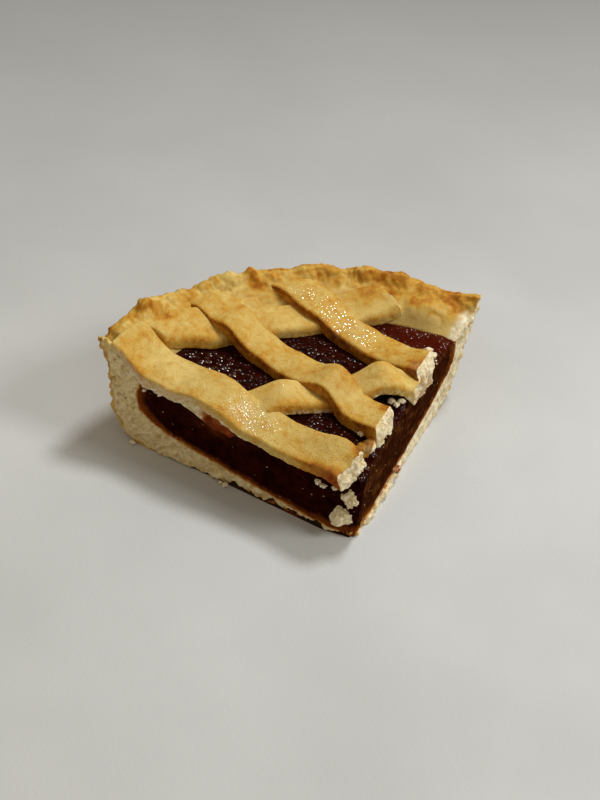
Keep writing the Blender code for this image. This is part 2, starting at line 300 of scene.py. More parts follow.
def flare(x, y, z):
    """How far a point near a cut face moves outwards, square to that face."""
    angle = np.arctan2(x, y)
    radius = np.hypot(x, y)
    weight = smoothstep(np.abs(angle), FLARE_START, HALF_ANGLE)
    weight = weight * smoothstep(radius, *FLARE_TIP_FADE)
    near_tip = np.maximum(0.0, 1.0 - radius / LEFT_FLARE_REACH)
    left = LEFT_BASE_FLARE * near_tip * np.maximum(0.0, 1.0 - z / LEFT_FLARE_HEIGHT)
    at_wall = smoothstep(radius, *RIGHT_WALL)
    top = RIGHT_TOP_FLARE + (RIGHT_RIM_FLARE - RIGHT_TOP_FLARE) * at_wall
    right = RIGHT_BASE_FLARE + (top - RIGHT_BASE_FLARE) * z / RIM_HEIGHT
    return weight * np.where(angle < 0.0, left, right)


def place(radius, angle, z):
    """Points given from the tip, in the slice's own frame and with the cut faces' flare."""
    x = radius * np.sin(angle)
    y = radius * np.cos(angle)
    out = flare(x, y, z)
    x = x + np.where(x < 0.0, -1.0, 1.0) * out * math.cos(HALF_ANGLE)
    y = y - out * math.sin(HALF_ANGLE)
    return np.stack(np.broadcast_arrays(x + TIP[0], y + TIP[1], z), axis=-1)


def cut_distance(x, y, z, side):
    """Distance of a point inside the cut face on that side, -1 left and 1 right."""
    radius = np.hypot(x, y)
    lean = flare(side * radius * math.sin(HALF_ANGLE), radius * math.cos(HALF_ANGLE), z)
    return lean - (side * x * math.cos(HALF_ANGLE) - y * math.sin(HALF_ANGLE))


def curve_at(knots, where):
    """Points on a smooth curve through the knots; where counts the knots from 0."""
    knots = np.asarray(knots, dtype=float)
    ends = np.vstack((2.0 * knots[0] - knots[1], knots, 2.0 * knots[-1] - knots[-2]))
    index = np.clip(np.floor(where).astype(int), 0, len(knots) - 2)
    t = (where - index)[:, None]
    before, start, finish, after = (ends[index + step] for step in range(4))
    return 0.5 * (2.0 * start + (finish - before) * t
                  + (2.0 * before - 5.0 * start + 4.0 * finish - after) * t ** 2
                  + (3.0 * start - before - 3.0 * finish + after) * t ** 3)


def lengths_along(points):
    """Distance along a row of points, from the first to each."""
    steps = np.linalg.norm(np.diff(points, axis=0), axis=1)
    return np.concatenate(([0.0], np.cumsum(steps)))


def even_stations(curve, first, last, spacing):
    """Places along a curve, about the spacing apart."""
    fine = np.linspace(first, last, CURVE_STATIONS)
    length = lengths_along(curve(fine))
    count = max(3, int(round(length[-1] / spacing)) + 1)
    return np.interp(np.linspace(0.0, length[-1], count), length, fine)


# Putting a mesh together

class Shape:
    """The points, their fields and the faces of one piece."""

    def __init__(self):
        self.points = []
        self.fields = {}
        self.faces = []
        self.count = 0

    def add(self, points, **fields):
        """Adds points and returns their indices in the same layout."""
        layout = points.shape[:-1]
        size = int(np.prod(layout))
        self.points.append(points.reshape(size, 3))
        for name, values in fields.items():
            flat = np.broadcast_to(values, layout).reshape(size)
            self.fields.setdefault(name, []).append(flat)
        indices = np.arange(self.count, self.count + size).reshape(layout)
        self.count += size
        return indices

    def grid(self, indices):
        """Four-sided faces between neighbouring rows and columns."""
        corners = (indices[:-1, :-1], indices[1:, :-1], indices[1:, 1:], indices[:-1, 1:])
        self.faces += np.stack(corners, axis=-1).reshape(-1, 4).tolist()

    def tube(self, indices):
        """A grid whose last column joins its first."""
        self.grid(np.hstack((indices, indices[:, :1])))

    def fan(self, ring, middle):
        following = np.roll(ring, -1)
        self.faces += [[int(a), int(b), int(middle)] for a, b in zip(ring, following)]

    def zip_loops(self, first, first_at, second, second_at, period):
        """Triangles between two closed rows of points, each with its place along the row."""
        first = [int(point) for point in first] + [int(first[0])]
        second = [int(point) for point in second] + [int(second[0])]
        first_at = list(first_at) + [first_at[0] + period, math.inf]
        second_at = list(second_at) + [second_at[0] + period, math.inf]
        a = b = 0
        while a < len(first) - 1 or b < len(second) - 1:
            if first_at[a + 1] <= second_at[b + 1]:
                self.faces.append([first[a], first[a + 1], second[b]])
                a += 1
            else:
                self.faces.append([first[a], second[b + 1], second[b]])
                b += 1

    def sweep(self, section_at, reach, spacing, **fields):
        """The skin of a cut piece, a closed section of radii and heights for each angle."""
        edge = spacing / reach
        columns = int(2.0 * HALF_ANGLE * reach / spacing)
        rows = []
        for angle in np.linspace(-HALF_ANGLE + edge, HALF_ANGLE - edge, columns):
            section = section_at(angle)
            rows.append(place(section[:, 0], angle, section[:, 1]))
        skin = self.add(np.stack(rows), cut=0.0, **fields)
        self.tube(skin)
        return skin

    def cut_face(self, net, side, column, column_at, places, period, **fields):
        """A net of radii and heights on the cut face of that side, joined to the skin's edge."""
        face = self.add(place(net[..., 0], side * HALF_ANGLE, net[..., 1]), cut=side, **fields)
        self.grid(face)
        loop = np.concatenate((face[:, 0], face[-1, 1:-1], face[::-1, -1], face[0, -2:0:-1]))
        self.zip_loops(column, column_at, loop, np.concatenate(places), period)

    def build(self, name, material):
        """Makes the object and returns it with its points, normals and fields."""
        mesh = bpy.data.meshes.new(name)
        points = np.vstack(self.points)
        mesh.from_pydata(points.tolist(), [], self.faces)
        work = bmesh.new()
        work.from_mesh(mesh)
        bmesh.ops.recalc_face_normals(work, faces=work.faces)
        work.to_mesh(mesh)
        work.free()
        mesh.shade_smooth()
        mesh.materials.append(material)
        piece = add_object(name, mesh)
        fields = {key: np.concatenate(parts) for key, parts in self.fields.items()}
        return piece, points, normals_of(mesh), fields


def add_object(name, data):
    item = bpy.data.objects.new(name, data)
    bpy.context.collection.objects.link(item)
    return item


def normals_of(mesh):
    normals = np.empty(len(mesh.vertices) * 3)
    mesh.vertices.foreach_get("normal", normals)
    return normals.reshape(-1, 3)


def move_points(piece, points):
    piece.data.vertices.foreach_set("co", points.ravel())
    piece.data.update()


def paint(piece, **fields):
    """Gives the material numbers that vary over the surface."""
    for name, values in fields.items():
        layer = piece.data.attributes.new(name, "FLOAT", "POINT")
        layer.data.foreach_set("value", np.clip(values, 0.0, 1.0).astype(np.float32))


# Materials

class Finish:
    """Builds one material from nodes."""

    def __init__(self, name):
        self.material = bpy.data.materials.new(name)
        self.material.use_nodes = True
        self.tree = self.material.node_tree
        self.shader = self.tree.nodes["Principled BSDF"]
        self.place = self.tree.nodes.new("ShaderNodeTexCoord").outputs["Object"]

    def set(self, node, socket, value):
        if isinstance(value, bpy.types.NodeSocket):
            self.tree.links.new(value, node.inputs[socket])
        elif isinstance(value, tuple) and len(node.inputs[socket].default_value) == 4:
            node.inputs[socket].default_value = (*value, 1.0)
        else:
            node.inputs[socket].default_value = value

    def field(self, name):
        node = self.tree.nodes.new("ShaderNodeAttribute")
        node.attribute_name = name
        return node.outputs["Fac"]

    def noise(self, scale, detail=2.0, roughness=0.5):
        node = self.tree.nodes.new("ShaderNodeTexNoise")
        self.set(node, "Vector", self.place)
        self.set(node, "Scale", scale)
        self.set(node, "Detail", detail)
        self.set(node, "Roughness", roughness)
        return node.outputs["Fac"]

    def uneven(self, scale, low, high, detail=2.0, roughness=0.5):
        """Noise spread from low to high."""
        return self.spread(self.noise(scale, detail, roughness), *NOISE_MIDDLE, low, high)

    def away(self, x_share, y_share):
        """Distance across the floor in a direction."""
        node = self.tree.nodes.new("ShaderNodeSeparateXYZ")
        self.set(node, 0, self.place)
        along_x = self.math("MULTIPLY", node.outputs[0], x_share)
        return self.math("ADD", along_x, self.math("MULTIPLY", node.outputs[1], y_share))

    def grains(self, scale, output="Distance"):
        node = self.tree.nodes.new("ShaderNodeTexVoronoi")
        self.set(node, "Vector", self.place)
        self.set(node, "Scale", scale)
        return node.outputs[output]

    def chosen(self, scale, share):
        """1 over a share of the grains of that scale and 0 over the others."""
        node = self.tree.nodes.new("ShaderNodeSeparateXYZ")
        self.set(node, 0, self.grains(scale, "Color"))
        return self.spread(node.outputs[0], 1.0 - share, 1.05 - share)

    def math(self, operation, first, second):
        node = self.tree.nodes.new("ShaderNodeMath")
        node.operation = operation
        self.set(node, 0, first)
        self.set(node, 1, second)
        return node.outputs[0]

    def spread(self, value, low, high, to_low=0.0, to_high=1.0):
        """Maps low to high onto another range, held at its ends."""
        node = self.tree.nodes.new("ShaderNodeMapRange")
        self.set(node, "Value", value)
        self.set(node, "From Min", low)
        self.set(node, "From Max", high)
        self.set(node, "To Min", to_low)
        self.set(node, "To Max", to_high)
        return node.outputs["Result"]

    def mix(self, factor, first, second):
        node = self.tree.nodes.new("ShaderNodeMix")
        node.data_type = "RGBA"
        self.set(node, "Factor", factor)
        self.set(node, 6, first)
        self.set(node, 7, second)
        return node.outputs[2]

    def ramp(self, value, stops):
        node = self.tree.nodes.new("ShaderNodeValToRGB")
        elements = node.color_ramp.elements
        while len(elements) < len(stops):
            elements.new(0.5)
        for element, (position, colour) in zip(elements, stops):
            element.position = position
            element.color = (*colour, 1.0)
        self.set(node, "Fac", value)
        return node.outputs["Color"]

    def bump(self, height, distance, normal=None):
        node = self.tree.nodes.new("ShaderNodeBump")
        self.set(node, "Height", height)
        self.set(node, "Distance", distance)
        if normal is not None:
            self.set(node, "Normal", normal)
        return node.outputs["Normal"]

    def coat(self, weight, scale, share, steepness, index):
        """A thin shiny layer that lies in small drops over a share of the surface's grains."""
        apart = self.grains(scale)
        drop = self.math("MULTIPLY", apart, apart)
        weight = self.math("MULTIPLY", weight, self.chosen(scale, share))
        self.set(self.shader, "Coat Weight", weight)
        self.set(self.shader, "Coat Normal", self.bump(drop, -steepness / scale))
        self.set(self.shader, "Coat Roughness", COAT_ROUGHNESS)
        self.set(self.shader, "Coat IOR", index)

    def finish(self, colour, roughness, normal, specular):
        self.set(self.shader, "Base Color", colour)
        self.set(self.shader, "Roughness", roughness)
        self.set(self.shader, "Normal", normal)
        self.set(self.shader, "Specular IOR Level", specular)
        return self.material


NOISE_MIDDLE = (0.3, 0.7)
COAT_ROUGHNESS = 0.05

# Baked dough: how deep light goes in, how its egg wash shines, and its colours
DOUGH_DEPTH_WEIGHT = 0.12
DOUGH_DEPTHS = (0.0022, 0.0012, 0.0005)
DOUGH_GLOSS = 0.10
WASH_SHARE = 0.72
WASH_INDEX = 1.95
PALE_DOUGH = (0.715, 0.52, 0.170)
LIGHT_DOUGH = (0.63, 0.43, 0.118)
GOLDEN_DOUGH = (0.575, 0.31, 0.043)
BROWN_DOUGH = (0.43, 0.155, 0.010)
DARK_DOUGH = (0.19, 0.050, 0.004)
BAKING = ((0.0, PALE_DOUGH), (0.28, LIGHT_DOUGH), (0.55, GOLDEN_DOUGH), (0.80, BROWN_DOUGH),
          (1.0, DARK_DOUGH))
INNER_CRUMB = (0.84, 0.73, 0.48)
CRUMB_LIGHT = (0.92, 0.85, 0.66)
CRUMB_SHADE = (0.66, 0.50, 0.24)
# Painted shade in the crumb's pores and hollows, also the darker colour of damp crumb
CRUMB_PORE_SHADE_AND_DAMP = (0.36, 0.23, 0.09)
SYRUP_LIGHT = (0.46, 0.19, 0.024)
SYRUP_STAIN = (0.24, 0.036, 0.003)
# Near black of syrup soaked through, also the painted shadow of the gap under the left floor's
# foot
SYRUP_DARK_AND_GAP_SHADOW = (0.035, 0.017, 0.009)
SOAKING = ((0.05, 0.35, SYRUP_LIGHT), (0.30, 0.60, SYRUP_STAIN), (0.60, 0.90, SYRUP_DARK_AND_GAP_SHADOW))

# How fine the dough's unevenness is, in lumps per metre, and how deep its grains and pores are
PATCH_SCALE = 120.0
MOTTLE_SCALE = 330.0
SAND_SCALE = 1500.0
CRUMB_SCALE = 260.0
CRUMB_LIGHT_SCALE = 720.0
SHINE_SCALE = 700.0
PORE_SCALE = 900.0
SAND_DEPTH = 0.00022
PORE_DEPTH = 0.00014

# Jam: how it shines and its colours
SYRUP_SHARE = 0.50
SYRUP_STEEPNESS = 0.36
SYRUP_INDEX = 2.1
JAM_DARK = (0.0115, 0.0018, 0.0012)
JAM_RED = (0.027, 0.0036, 0.0016)
JAM_AMBER = (0.20, 0.045, 0.006)
JAM_GLOW = (0.13, 0.012, 0.004)
JAM_SMEAR = (0.150, 0.052, 0.011)
# Pale colour of crumb dust on the jam, also used for the painted glints of its specks
JAM_DUST_AND_GLINT = (0.46, 0.29, 0.12)

# How fine the jam's unevenness is, in lumps per metre, and how deep its pulp is
BODY_SCALE = 260.0
STREAK_SCALE = 330.0
JAM_SHINE_SCALE = 900.0
# Painted glints: pale specks on a share of the jam's grains of this scale
GLINT_SPECK_SCALE = 620.0
GLINT_SPECK_SHARE = 0.07
PULP_SCALE = 300.0
PULP_DEPTH = 0.00020
SYRUP_DROP_SCALE = 560.0


def dough_material(name, warmth, grain, light_from=0.50, drops=860.0, steepness=0.34):
    """Baked shortcrust.

    warmth adds to its baking, grain is how coarse it feels, light_from says from which noise
    its inside is lighter, drops how fine the drops of its egg wash are and steepness how
    round. Its fields are toast, how far it is baked, crumb, where the inside shows,
    hollow, painted shade in the pores of that and the darker colour of damp
    crumb, stain, where syrup has soaked in, and wash, where the egg wash shines.
    """
    look = Finish(name)
    patches = look.uneven(PATCH_SCALE, -0.16, 0.16 + warmth, 4.0, 0.55)
    mottle = look.uneven(MOTTLE_SCALE, -0.13, 0.13, 3.0)
    fine = look.uneven(SAND_SCALE, -0.09 * grain, 0.09 * grain)
    toast = look.math("ADD", look.math("ADD", look.field("toast"), patches), mottle)
    toast = look.math("ADD", toast, fine)
    baked = look.ramp(toast, BAKING)
    specks = look.spread(look.noise(SAND_SCALE), 0.66, 0.72, 0.0, 0.55)
    baked = look.mix(specks, baked, BROWN_DOUGH)
    shade = look.spread(look.noise(CRUMB_SCALE, 4.0, 0.6), 0.42, 0.66)
    inside = look.mix(shade, INNER_CRUMB, CRUMB_SHADE)
    light = look.spread(look.noise(CRUMB_LIGHT_SCALE), light_from, light_from + 0.12, 0.0, 0.9)
    inside = look.mix(light, inside, CRUMB_LIGHT)
    # Painted shade: the inside darkens in its pores, and where crumb is damp
    inside = look.mix(look.spread(look.field("hollow"), 0.0, 1.0, 0.0, 0.75), inside, CRUMB_PORE_SHADE_AND_DAMP)
    colour = look.mix(look.field("crumb"), baked, inside)
    soaked = look.math("ADD", look.field("stain"), mottle)
    for dry, full, syrup in SOAKING:
        colour = look.mix(look.spread(soaked, dry, full), colour, syrup)
    roughness = look.uneven(SHINE_SCALE, 0.56, 0.68)
    sand = look.bump(look.noise(SAND_SCALE, 3.0, 0.65), SAND_DEPTH * grain)
    pores = look.spread(look.grains(PORE_SCALE), 0.05, 0.35)
    pores = look.bump(pores, PORE_DEPTH * grain, sand)
    look.coat(look.field("wash"), drops, WASH_SHARE, steepness, WASH_INDEX)
    look.set(look.shader, "Subsurface Weight", DOUGH_DEPTH_WEIGHT)
    look.set(look.shader, "Subsurface Radius", DOUGH_DEPTHS)
    look.set(look.shader, "Subsurface Scale", 1.0)
    return look.finish(colour, roughness, pores, DOUGH_GLOSS)


def jam_material():
    """Dark boiled jam.

    Its fields are thin and glow, where light comes through its edge and its top, smear, where
    the knife dragged it along, dust, where crumb sticks to it, and gloss, how it shines.
    Pale specks over a share of its grains are painted glints.
    """
    look = Finish("jam")
    body = look.mix(look.spread(look.noise(BODY_SCALE, 3.0), 0.36, 0.62), JAM_DARK, JAM_RED)
    colour = look.mix(look.field("thin"), body, JAM_AMBER)
    colour = look.mix(look.field("glow"), colour, JAM_GLOW)
    streaks = look.spread(look.noise(STREAK_SCALE, 3.0), 0.35, 0.65, 0.35, 1.0)
    colour = look.mix(look.math("MULTIPLY", look.field("smear"), streaks), colour, JAM_SMEAR)
    roughness = look.uneven(JAM_SHINE_SCALE, 0.30, 0.50)
    # Painted glints: pale specks over a share of the grains, in the colour of crumb dust
    near = look.spread(look.grains(GLINT_SPECK_SCALE), 0.16, 0.30, 0.75, 0.0)
    specks = look.math("MULTIPLY", near, look.chosen(GLINT_SPECK_SCALE, GLINT_SPECK_SHARE))
    dusted = look.math("MULTIPLY", near, look.field("dust"))
    colour = look.mix(look.math("MAXIMUM", specks, dusted), colour, JAM_DUST_AND_GLINT)
    pulp = look.bump(look.noise(PULP_SCALE), PULP_DEPTH)
    look.coat(look.field("gloss"), SYRUP_DROP_SCALE, SYRUP_SHARE, SYRUP_STEEPNESS, SYRUP_INDEX)
    return look.finish(colour, roughness, pulp, 0.0)


# Places on a surface

class Unevenness:
    """Kinds of unevenness, each a number for every point of a surface. level is 1 all over."""

    def __init__(self):
        self.level = 1.0

    def sum_of(self, shares):
        """The sum of some kinds, each times its share."""
        return sum(share * vars(self)[kind] for kind, share in shares.items())


class CutSurface(Unevenness):
    """Where the points of a cut piece are: from the tip, inside the cut faces and on them.

    cut is -1 on the left cut face, 1 on the right one and 0 elsewhere.
    """

    def __init__(self, points, cut):
        super().__init__()
        x, y = (points[:, :2] - TIP).T
        self.radius = np.hypot(x, y)
        self.angle = np.arctan2(x, y)
        self.height = points[:, 2]
        self.below_jam_top = jam_top(x, y) - self.height
        self.to_left = cut_distance(x, y, self.height, -1.0)
        self.to_right = cut_distance(x, y, self.height, 1.0)
        self.on_left = (cut < 0.0).astype(float)
        self.on_right = (cut > 0.0).astype(float)
        self.on_cut = np.abs(cut)
        self.off_cut = 1.0 - self.on_cut


def distance_to(line, radius, height):
    """How far points of the section are from a line of points."""
    distance = np.full(len(radius), np.inf)
    for line_radius, line_height in line:
        distance = np.minimum(distance, np.hypot(radius - line_radius, height - line_height))
    return distance


# The shell

# The crust's unevenness: size of its lumps, number of sizes of lumps where it has several, and
# seed. The pits have the share of the crumb that they take up in the middle.
RIM_FOLDS = (0.0070, 11)
RIM_CRACKS = (0.0078, 13)
RIM_CRACKED_PLACES = (0.0150, 17)
RIM_LUMPS = (0.0060, 3, 21)
RIM_FLAKES = (0.0024, 3, 25)
CRUMB_LUMPS = (0.0044, 4, 31)
CRUMB_HOLES = (0.0023, 3, 41)
CRUMB_PITS = (0.0030, 0.16, 43)
BROKEN_FOOT = (0.0058, 3, 47)
CRUMB_PORES = (0.0017, 3, 59)

# The rim's surface breaks into flat slabs: their size and seed, and how their edges waver
RIM_SLABS = (0.0105, 57)
SLAB_WAVER = 0.0022
SLAB_WAVER_SIZE = 0.0060
SLAB_WAVER_SEEDS = (51, 53, 55)

# How far each kind of unevenness moves the surface outwards
RIM_RELIEF = {"level": 0.00017, "lumps": 0.00050, "flakes": 0.00010, "cracks": -0.00045,
              "slab_edges": -0.00034}
CREST_RELIEF = {"folds": 0.00032, "lumps": 0.00050, "flakes": 0.00040}
CORNER_RELIEF = {"level": 0.0006, "flakes": 0.0009}
WALL_RELIEF = {"lumps": 0.00032, "flakes": 0.00022}
LEFT_EDGE_RELIEF = {"level": 0.0002, "flakes": 0.0008}
CRUMB_RELIEF = {"crumb_lumps": 0.00135, "crumb_pits": -0.00090}
CUT_EDGE_RELIEF = {"level": -0.00018, "flakes": 0.00060}
TIP_RELIEF = {"level": 0.00117, "crumb_lumps": 0.00156, "flakes": 0.00065}

# Where the parts of the crust begin and end: radii, heights, angles and depths
RIM_RADII = (0.1010, 0.1060)
RIM_HEIGHTS = (0.034, 0.038)
CREST_RADII = (0.1105, 0.1155)
CREST_HEIGHTS = (0.040, 0.043)
CORNER_ANGLES = (math.radians(41.5), math.radians(44.0))
TIP_CRUMBLE_RADII = (0.026, 0.062)
CALM_RADII = (0.070, 0.095)
FOOT_END_RADII = (0.080, 0.098)
BAKED_RADII = (0.1015, 0.1085)
BAKED_ANGLES = (0.0, math.radians(22.0))
BARE_FOOT_HEIGHTS = (0.026, 0.030)
BARE_TOP_HEIGHTS = (0.0400, 0.0440)
BARE_REACH = (0.0020, 0.0060)
SYRUP_REACH_LEFT = 0.0019
SYRUP_REACH_RIGHT = 0.0009
SCORCH_HEIGHTS = (0.0006, 0.0020)
SKIN_DEPTHS = (0.0006, 0.0022)

# Where a pale fold of the rim is: middle and half width
PALE_FOLD_ANGLE = (math.radians(15.7), math.radians(3.0))
PALE_FOLD_RADIUS = (0.1105, 0.0020)


def shell_inner(where, crest, swell=0.0):
    """The shell's inner side, from the tip along the floor and over the lip to the crest."""
    floor = [(radius, floor_top(radius)) for radius in (TIP_RADIUS, *FLOOR_RADII)]
    low = curve_at(floor + [WALL_FOOT, WALL_INNER, LIP_FOOT], np.minimum(where, LIP_KNOT))
    middle = (LIP_MIDDLE[0] - swell * LIP_SWELL_IN, LIP_MIDDLE[1] + swell)
    top = (LIP_TOP[0], LIP_TOP[1] + swell * LIP_SWELL_TOP)
    high = curve_at((LIP_FOOT, middle, top, (CREST_RADIUS, crest)),
                    np.maximum(where - LIP_KNOT, 0.0))
    return np.where((where <= LIP_KNOT)[:, None], low, high)


def shell_outer(where, crest):
    """The base and the outer wall, from the tip to the crest's outer edge."""
    base_radii = (TIP_RADIUS, *FLOOR_RADII[:3], BASE_RADIUS)
    low = np.column_stack((np.interp(where, range(BASE_KNOT + 1), base_radii),
                           np.zeros(len(where))))
    wall = [(BASE_RADIUS, 0.0), *reversed(WALL_OUTER), LEDGE]
    middle = curve_at(wall, np.clip(where - BASE_KNOT, 0.0, LEDGE_KNOT - BASE_KNOT))
    share = np.clip(where - LEDGE_KNOT, 0.0, 1.0)[:, None]
    edge = np.array((RIM_RADIUS, crest - CREST_EDGE_DROP))
    high = np.array(LEDGE) * (1.0 - share) + edge * share
    side = np.where((where <= LEDGE_KNOT)[:, None], middle, high)
    return np.where((where <= BASE_KNOT)[:, None], low, side)


def skin_distance(radius, height):
    """How far a point of the section is inside the shell's outer skin."""
    skin = shell_outer(np.linspace(BASE_KNOT, CREST_KNOT, SKIN_STATIONS), RIM_HEIGHT)
    return distance_to(skin, radius, height)


def jam_side_distance(radius, height):
    """How far a point of the section is from the side that the jam lies against."""
    side = shell_inner(np.linspace(0.0, LIP_KNOT, JAM_SIDE_STATIONS), RIM_HEIGHT)
    return distance_to(side, radius, height)


def crust_shape():
    """The shell's skin and its two cut faces; at is the place along the section, in knots."""
    shape = Shape()
    crest = crest_height(0.0)
    hidden = np.linspace(0.0, LIP_KNOT - 0.5, HIDDEN_STATIONS)[:-1]
    lip = even_stations(lambda w: shell_inner(w, crest), LIP_KNOT - 0.5, CREST_KNOT,
                        SKIN_SPACING)
    wall = even_stations(lambda w: shell_outer(w, crest), CREST_KNOT, BASE_KNOT, SKIN_SPACING)
    base = np.linspace(BASE_KNOT, 0.0, BASE_STATIONS)[1:]
    inner = np.concatenate((hidden, lip))
    outer = np.concatenate((wall, base))
    top = np.linspace(0.0, 1.0, TOP_STATIONS)[1:-1]
    loop_at = np.concatenate((inner, CREST_KNOT + top, OUTER_START - outer))

    def section_at(angle):
        crest = crest_height(angle)
        inside = shell_inner(inner, crest, humps(angle, LIP_SWELLS))
        outside = shell_outer(outer, crest)
        over = inside[-1] * (1.0 - top[:, None]) + outside[0] * top[:, None]
        return np.vstack((inside, over, outside))

    skin = shape.sweep(section_at, RIM_RADIUS, SKIN_SPACING, at=loop_at)
    across = np.linspace(0.0, 1.0, SHELL_CUT_ROWS)
    for side, column in ((-1.0, skin[0]), (1.0, skin[-1])):
        crest = crest_height(side * HALF_ANGLE)
        along = even_stations(
            lambda w: np.hstack((shell_inner(w, crest), shell_outer(w, crest))),
            0.0, CREST_KNOT, CUT_SPACING * math.sqrt(2.0))
        inside = shell_inner(along, crest, humps(side * HALF_ANGLE, LIP_SWELLS))
        outside = shell_outer(along, crest)
        share = across[None, :, None]
        net = inside[:, None, :] * (1.0 - share) + outside[:, None, :] * share
        places = (along, CREST_KNOT + across[1:-1], OUTER_START - along[::-1],
                  OUTER_START + 1 - across[-2:0:-1])
        shape.cut_face(net, side, column, loop_at, places, OUTER_START + 1, at=along[:, None])
    return shape


class CrustSurface(CutSurface):
    """The crust's unevenness, and what it does to its surface and its colour."""

    def __init__(self, points, fields):
        super().__init__(points, fields["cut"])
        radius, height = self.radius, self.height
        self.at = fields["at"]
        self.from_skin = skin_distance(radius, height)
        self.from_jam = jam_side_distance(radius, height)
        self.on_rim = self.off_cut * smoothstep(radius, *RIM_RADII) * smoothstep(
            height, *RIM_HEIGHTS)
        self.on_crest = smoothstep(radius, *CREST_RADII) * smoothstep(height, *CREST_HEIGHTS)
        self.on_wall = self.off_cut * (self.at > OUTER_START - LEDGE_KNOT - 0.6)
        self.on_wall = self.on_wall * (height > WALL_START_HEIGHT)
        self.corner = smoothstep(-self.angle, *CORNER_ANGLES) * self.on_crest

        along_rim = np.column_stack((self.angle * RIM_RADIUS, radius, height))
        self.folds = 1.0 - np.abs(noise(along_rim * (0.7, 1.5, 1.5), *RIM_FOLDS)) * 2.4
        self.lumps = rough(along_rim, *RIM_LUMPS)
        self.flakes = rough(along_rim, *RIM_FLAKES)
        self.cracks = smoothstep(0.13 - np.abs(noise(along_rim, *RIM_CRACKS)), 0.0, 0.13)
        self.cracks *= smoothstep(noise(along_rim, *RIM_CRACKED_PLACES), -0.2, 0.2)
        waver = [noise(along_rim, SLAB_WAVER_SIZE, seed) for seed in SLAB_WAVER_SEEDS]
        warped = along_rim * (1.0, 1.7, 1.7) + SLAB_WAVER * np.column_stack(waver)
        self.slab_edges = smoothstep(cells(warped, *RIM_SLABS)[0], 0.50, 0.78)
        self.crumb_lumps = rough(points, *CRUMB_LUMPS)
        self.crumb_pits = smoothstep(rough(points, *CRUMB_HOLES), 0.10, 0.80)
        self.crumb_pits += 0.8 * pits(points, *CRUMB_PITS)
        self.crumb_pits *= falloff(0.0010 - self.from_jam, 0.0, 0.0006)
        self.pores = smoothstep(rough(points, *CRUMB_PORES), 0.0, 0.45)
        self.foot = self.scorched_foot_and_gap_shadow(points)

    def scorched_foot_and_gap_shadow(self, points):
        """1 on the broken foot of the floor along the left cut, painted dark as scorched crust and
        as the shadow of the gap beneath it, and 0 elsewhere.
        """
        broken = np.clip(0.85 + 1.3 * rough(points * (1.0, 1.0, 0.0), *BROKEN_FOOT), 0.0, 1.5)
        top = FOOT_HEIGHTS[0] + FOOT_HEIGHTS[1] * falloff(self.radius, *FOOT_FADE)
        top = broken * (top + FOOT_HEIGHTS[2] * hump(self.radius, *FOOT_NOTCH))
        foot = falloff(self.height - top, -0.0002, 0.0003)
        foot *= falloff(self.to_left, 0.0010, 0.0030)
        return foot * falloff(self.radius, *FOOT_END_RADII)

    def relief(self):
        """How far each point moves outwards."""
        move = self.on_rim * self.sum_of(RIM_RELIEF)
        move += self.off_cut * self.on_crest * self.sum_of(CREST_RELIEF)
        move += self.corner * self.sum_of(CORNER_RELIEF)
        near_left = falloff(self.to_left, 0.0005, 0.0030)
        move += self.on_wall * self.sum_of(WALL_RELIEF)
        move += self.on_wall * near_left * self.sum_of(LEFT_EDGE_RELIEF)
        inside = self.on_cut * (0.35 + 0.65 * smoothstep(self.from_jam, 0.0003, 0.0020))
        calm = 1.0 - 0.5 * self.on_right * falloff(self.radius, *CALM_RADII)
        move += inside * calm * self.sum_of(CRUMB_RELIEF)
        edge = falloff(self.from_skin, 0.0002, 0.0014)
        move += self.on_cut * edge * self.sum_of(CUT_EDGE_RELIEF)
        at_tip = self.on_right * falloff(self.radius, *TIP_CRUMBLE_RADII)
        move += at_tip * smoothstep(self.from_jam, 0.0, 0.0008) * self.sum_of(TIP_RELIEF)
        return move * (1.0 - 0.8 * self.foot) - FOOT_DEPTH * self.foot * self.on_cut

    def skin_toast(self):
        """How far the outside is baked."""
        toast = 0.06 + 0.40 * smoothstep(self.radius, *BAKED_RADII) + 0.08 * self.lumps
        toast += self.on_rim * 0.12 * (smoothstep(self.angle, *BAKED_ANGLES) - 0.4)
        browned = smoothstep(self.folds + 0.6 * self.lumps, 0.7, 1.4)
        toast += self.on_crest * (0.04 + 0.24 * browned) - 0.24 * self.on_rim * self.cracks
        toast += self.on_rim * 0.20 * (self.slab_edges - 0.25)
        toast -= 0.30 * hump(self.angle, *PALE_FOLD_ANGLE) * hump(self.radius, *PALE_FOLD_RADIUS)
        toast += (0.3 + 0.7 * self.on_crest) * self.on_rim * humps(self.angle, RIM_TONES)
        toast = np.clip(toast, 0.20 * self.on_rim, 0.76)
        return np.where(self.on_wall > 0.0, 0.44 + 0.14 * self.lumps + 0.10 * self.flakes, toast)

    def bare_inside(self):
        """1 where the pale inside of the wall shows above the jam, and 0 elsewhere."""
        bare = self.off_cut * (self.at < CREST_KNOT) * smoothstep(self.height, *BARE_FOOT_HEIGHTS)
        bare *= falloff(self.height + 0.002 * self.lumps, *BARE_TOP_HEIGHTS)
        return bare * falloff(self.to_right + 0.0012 * self.lumps, *BARE_REACH)

    def colours(self):
        golden_skin = falloff(self.from_skin, *SKIN_DEPTHS)
        scorch = falloff(self.height + 0.0008 * self.crumb_lumps, *SCORCH_HEIGHTS)
        scorch = self.on_cut * scorch
        toast = np.where(self.on_cut > 0.0, 0.46 * golden_skin + 0.15 * self.crumb_lumps,
                         self.skin_toast())
        toast = np.where(self.at > OUTER_START - BASE_KNOT, 0.80, toast)
        # The foot is painted near black, for scorched crust and for the shadow in the gap under
        # the floor's edge
        toast += 0.20 * scorch * self.on_left + self.foot
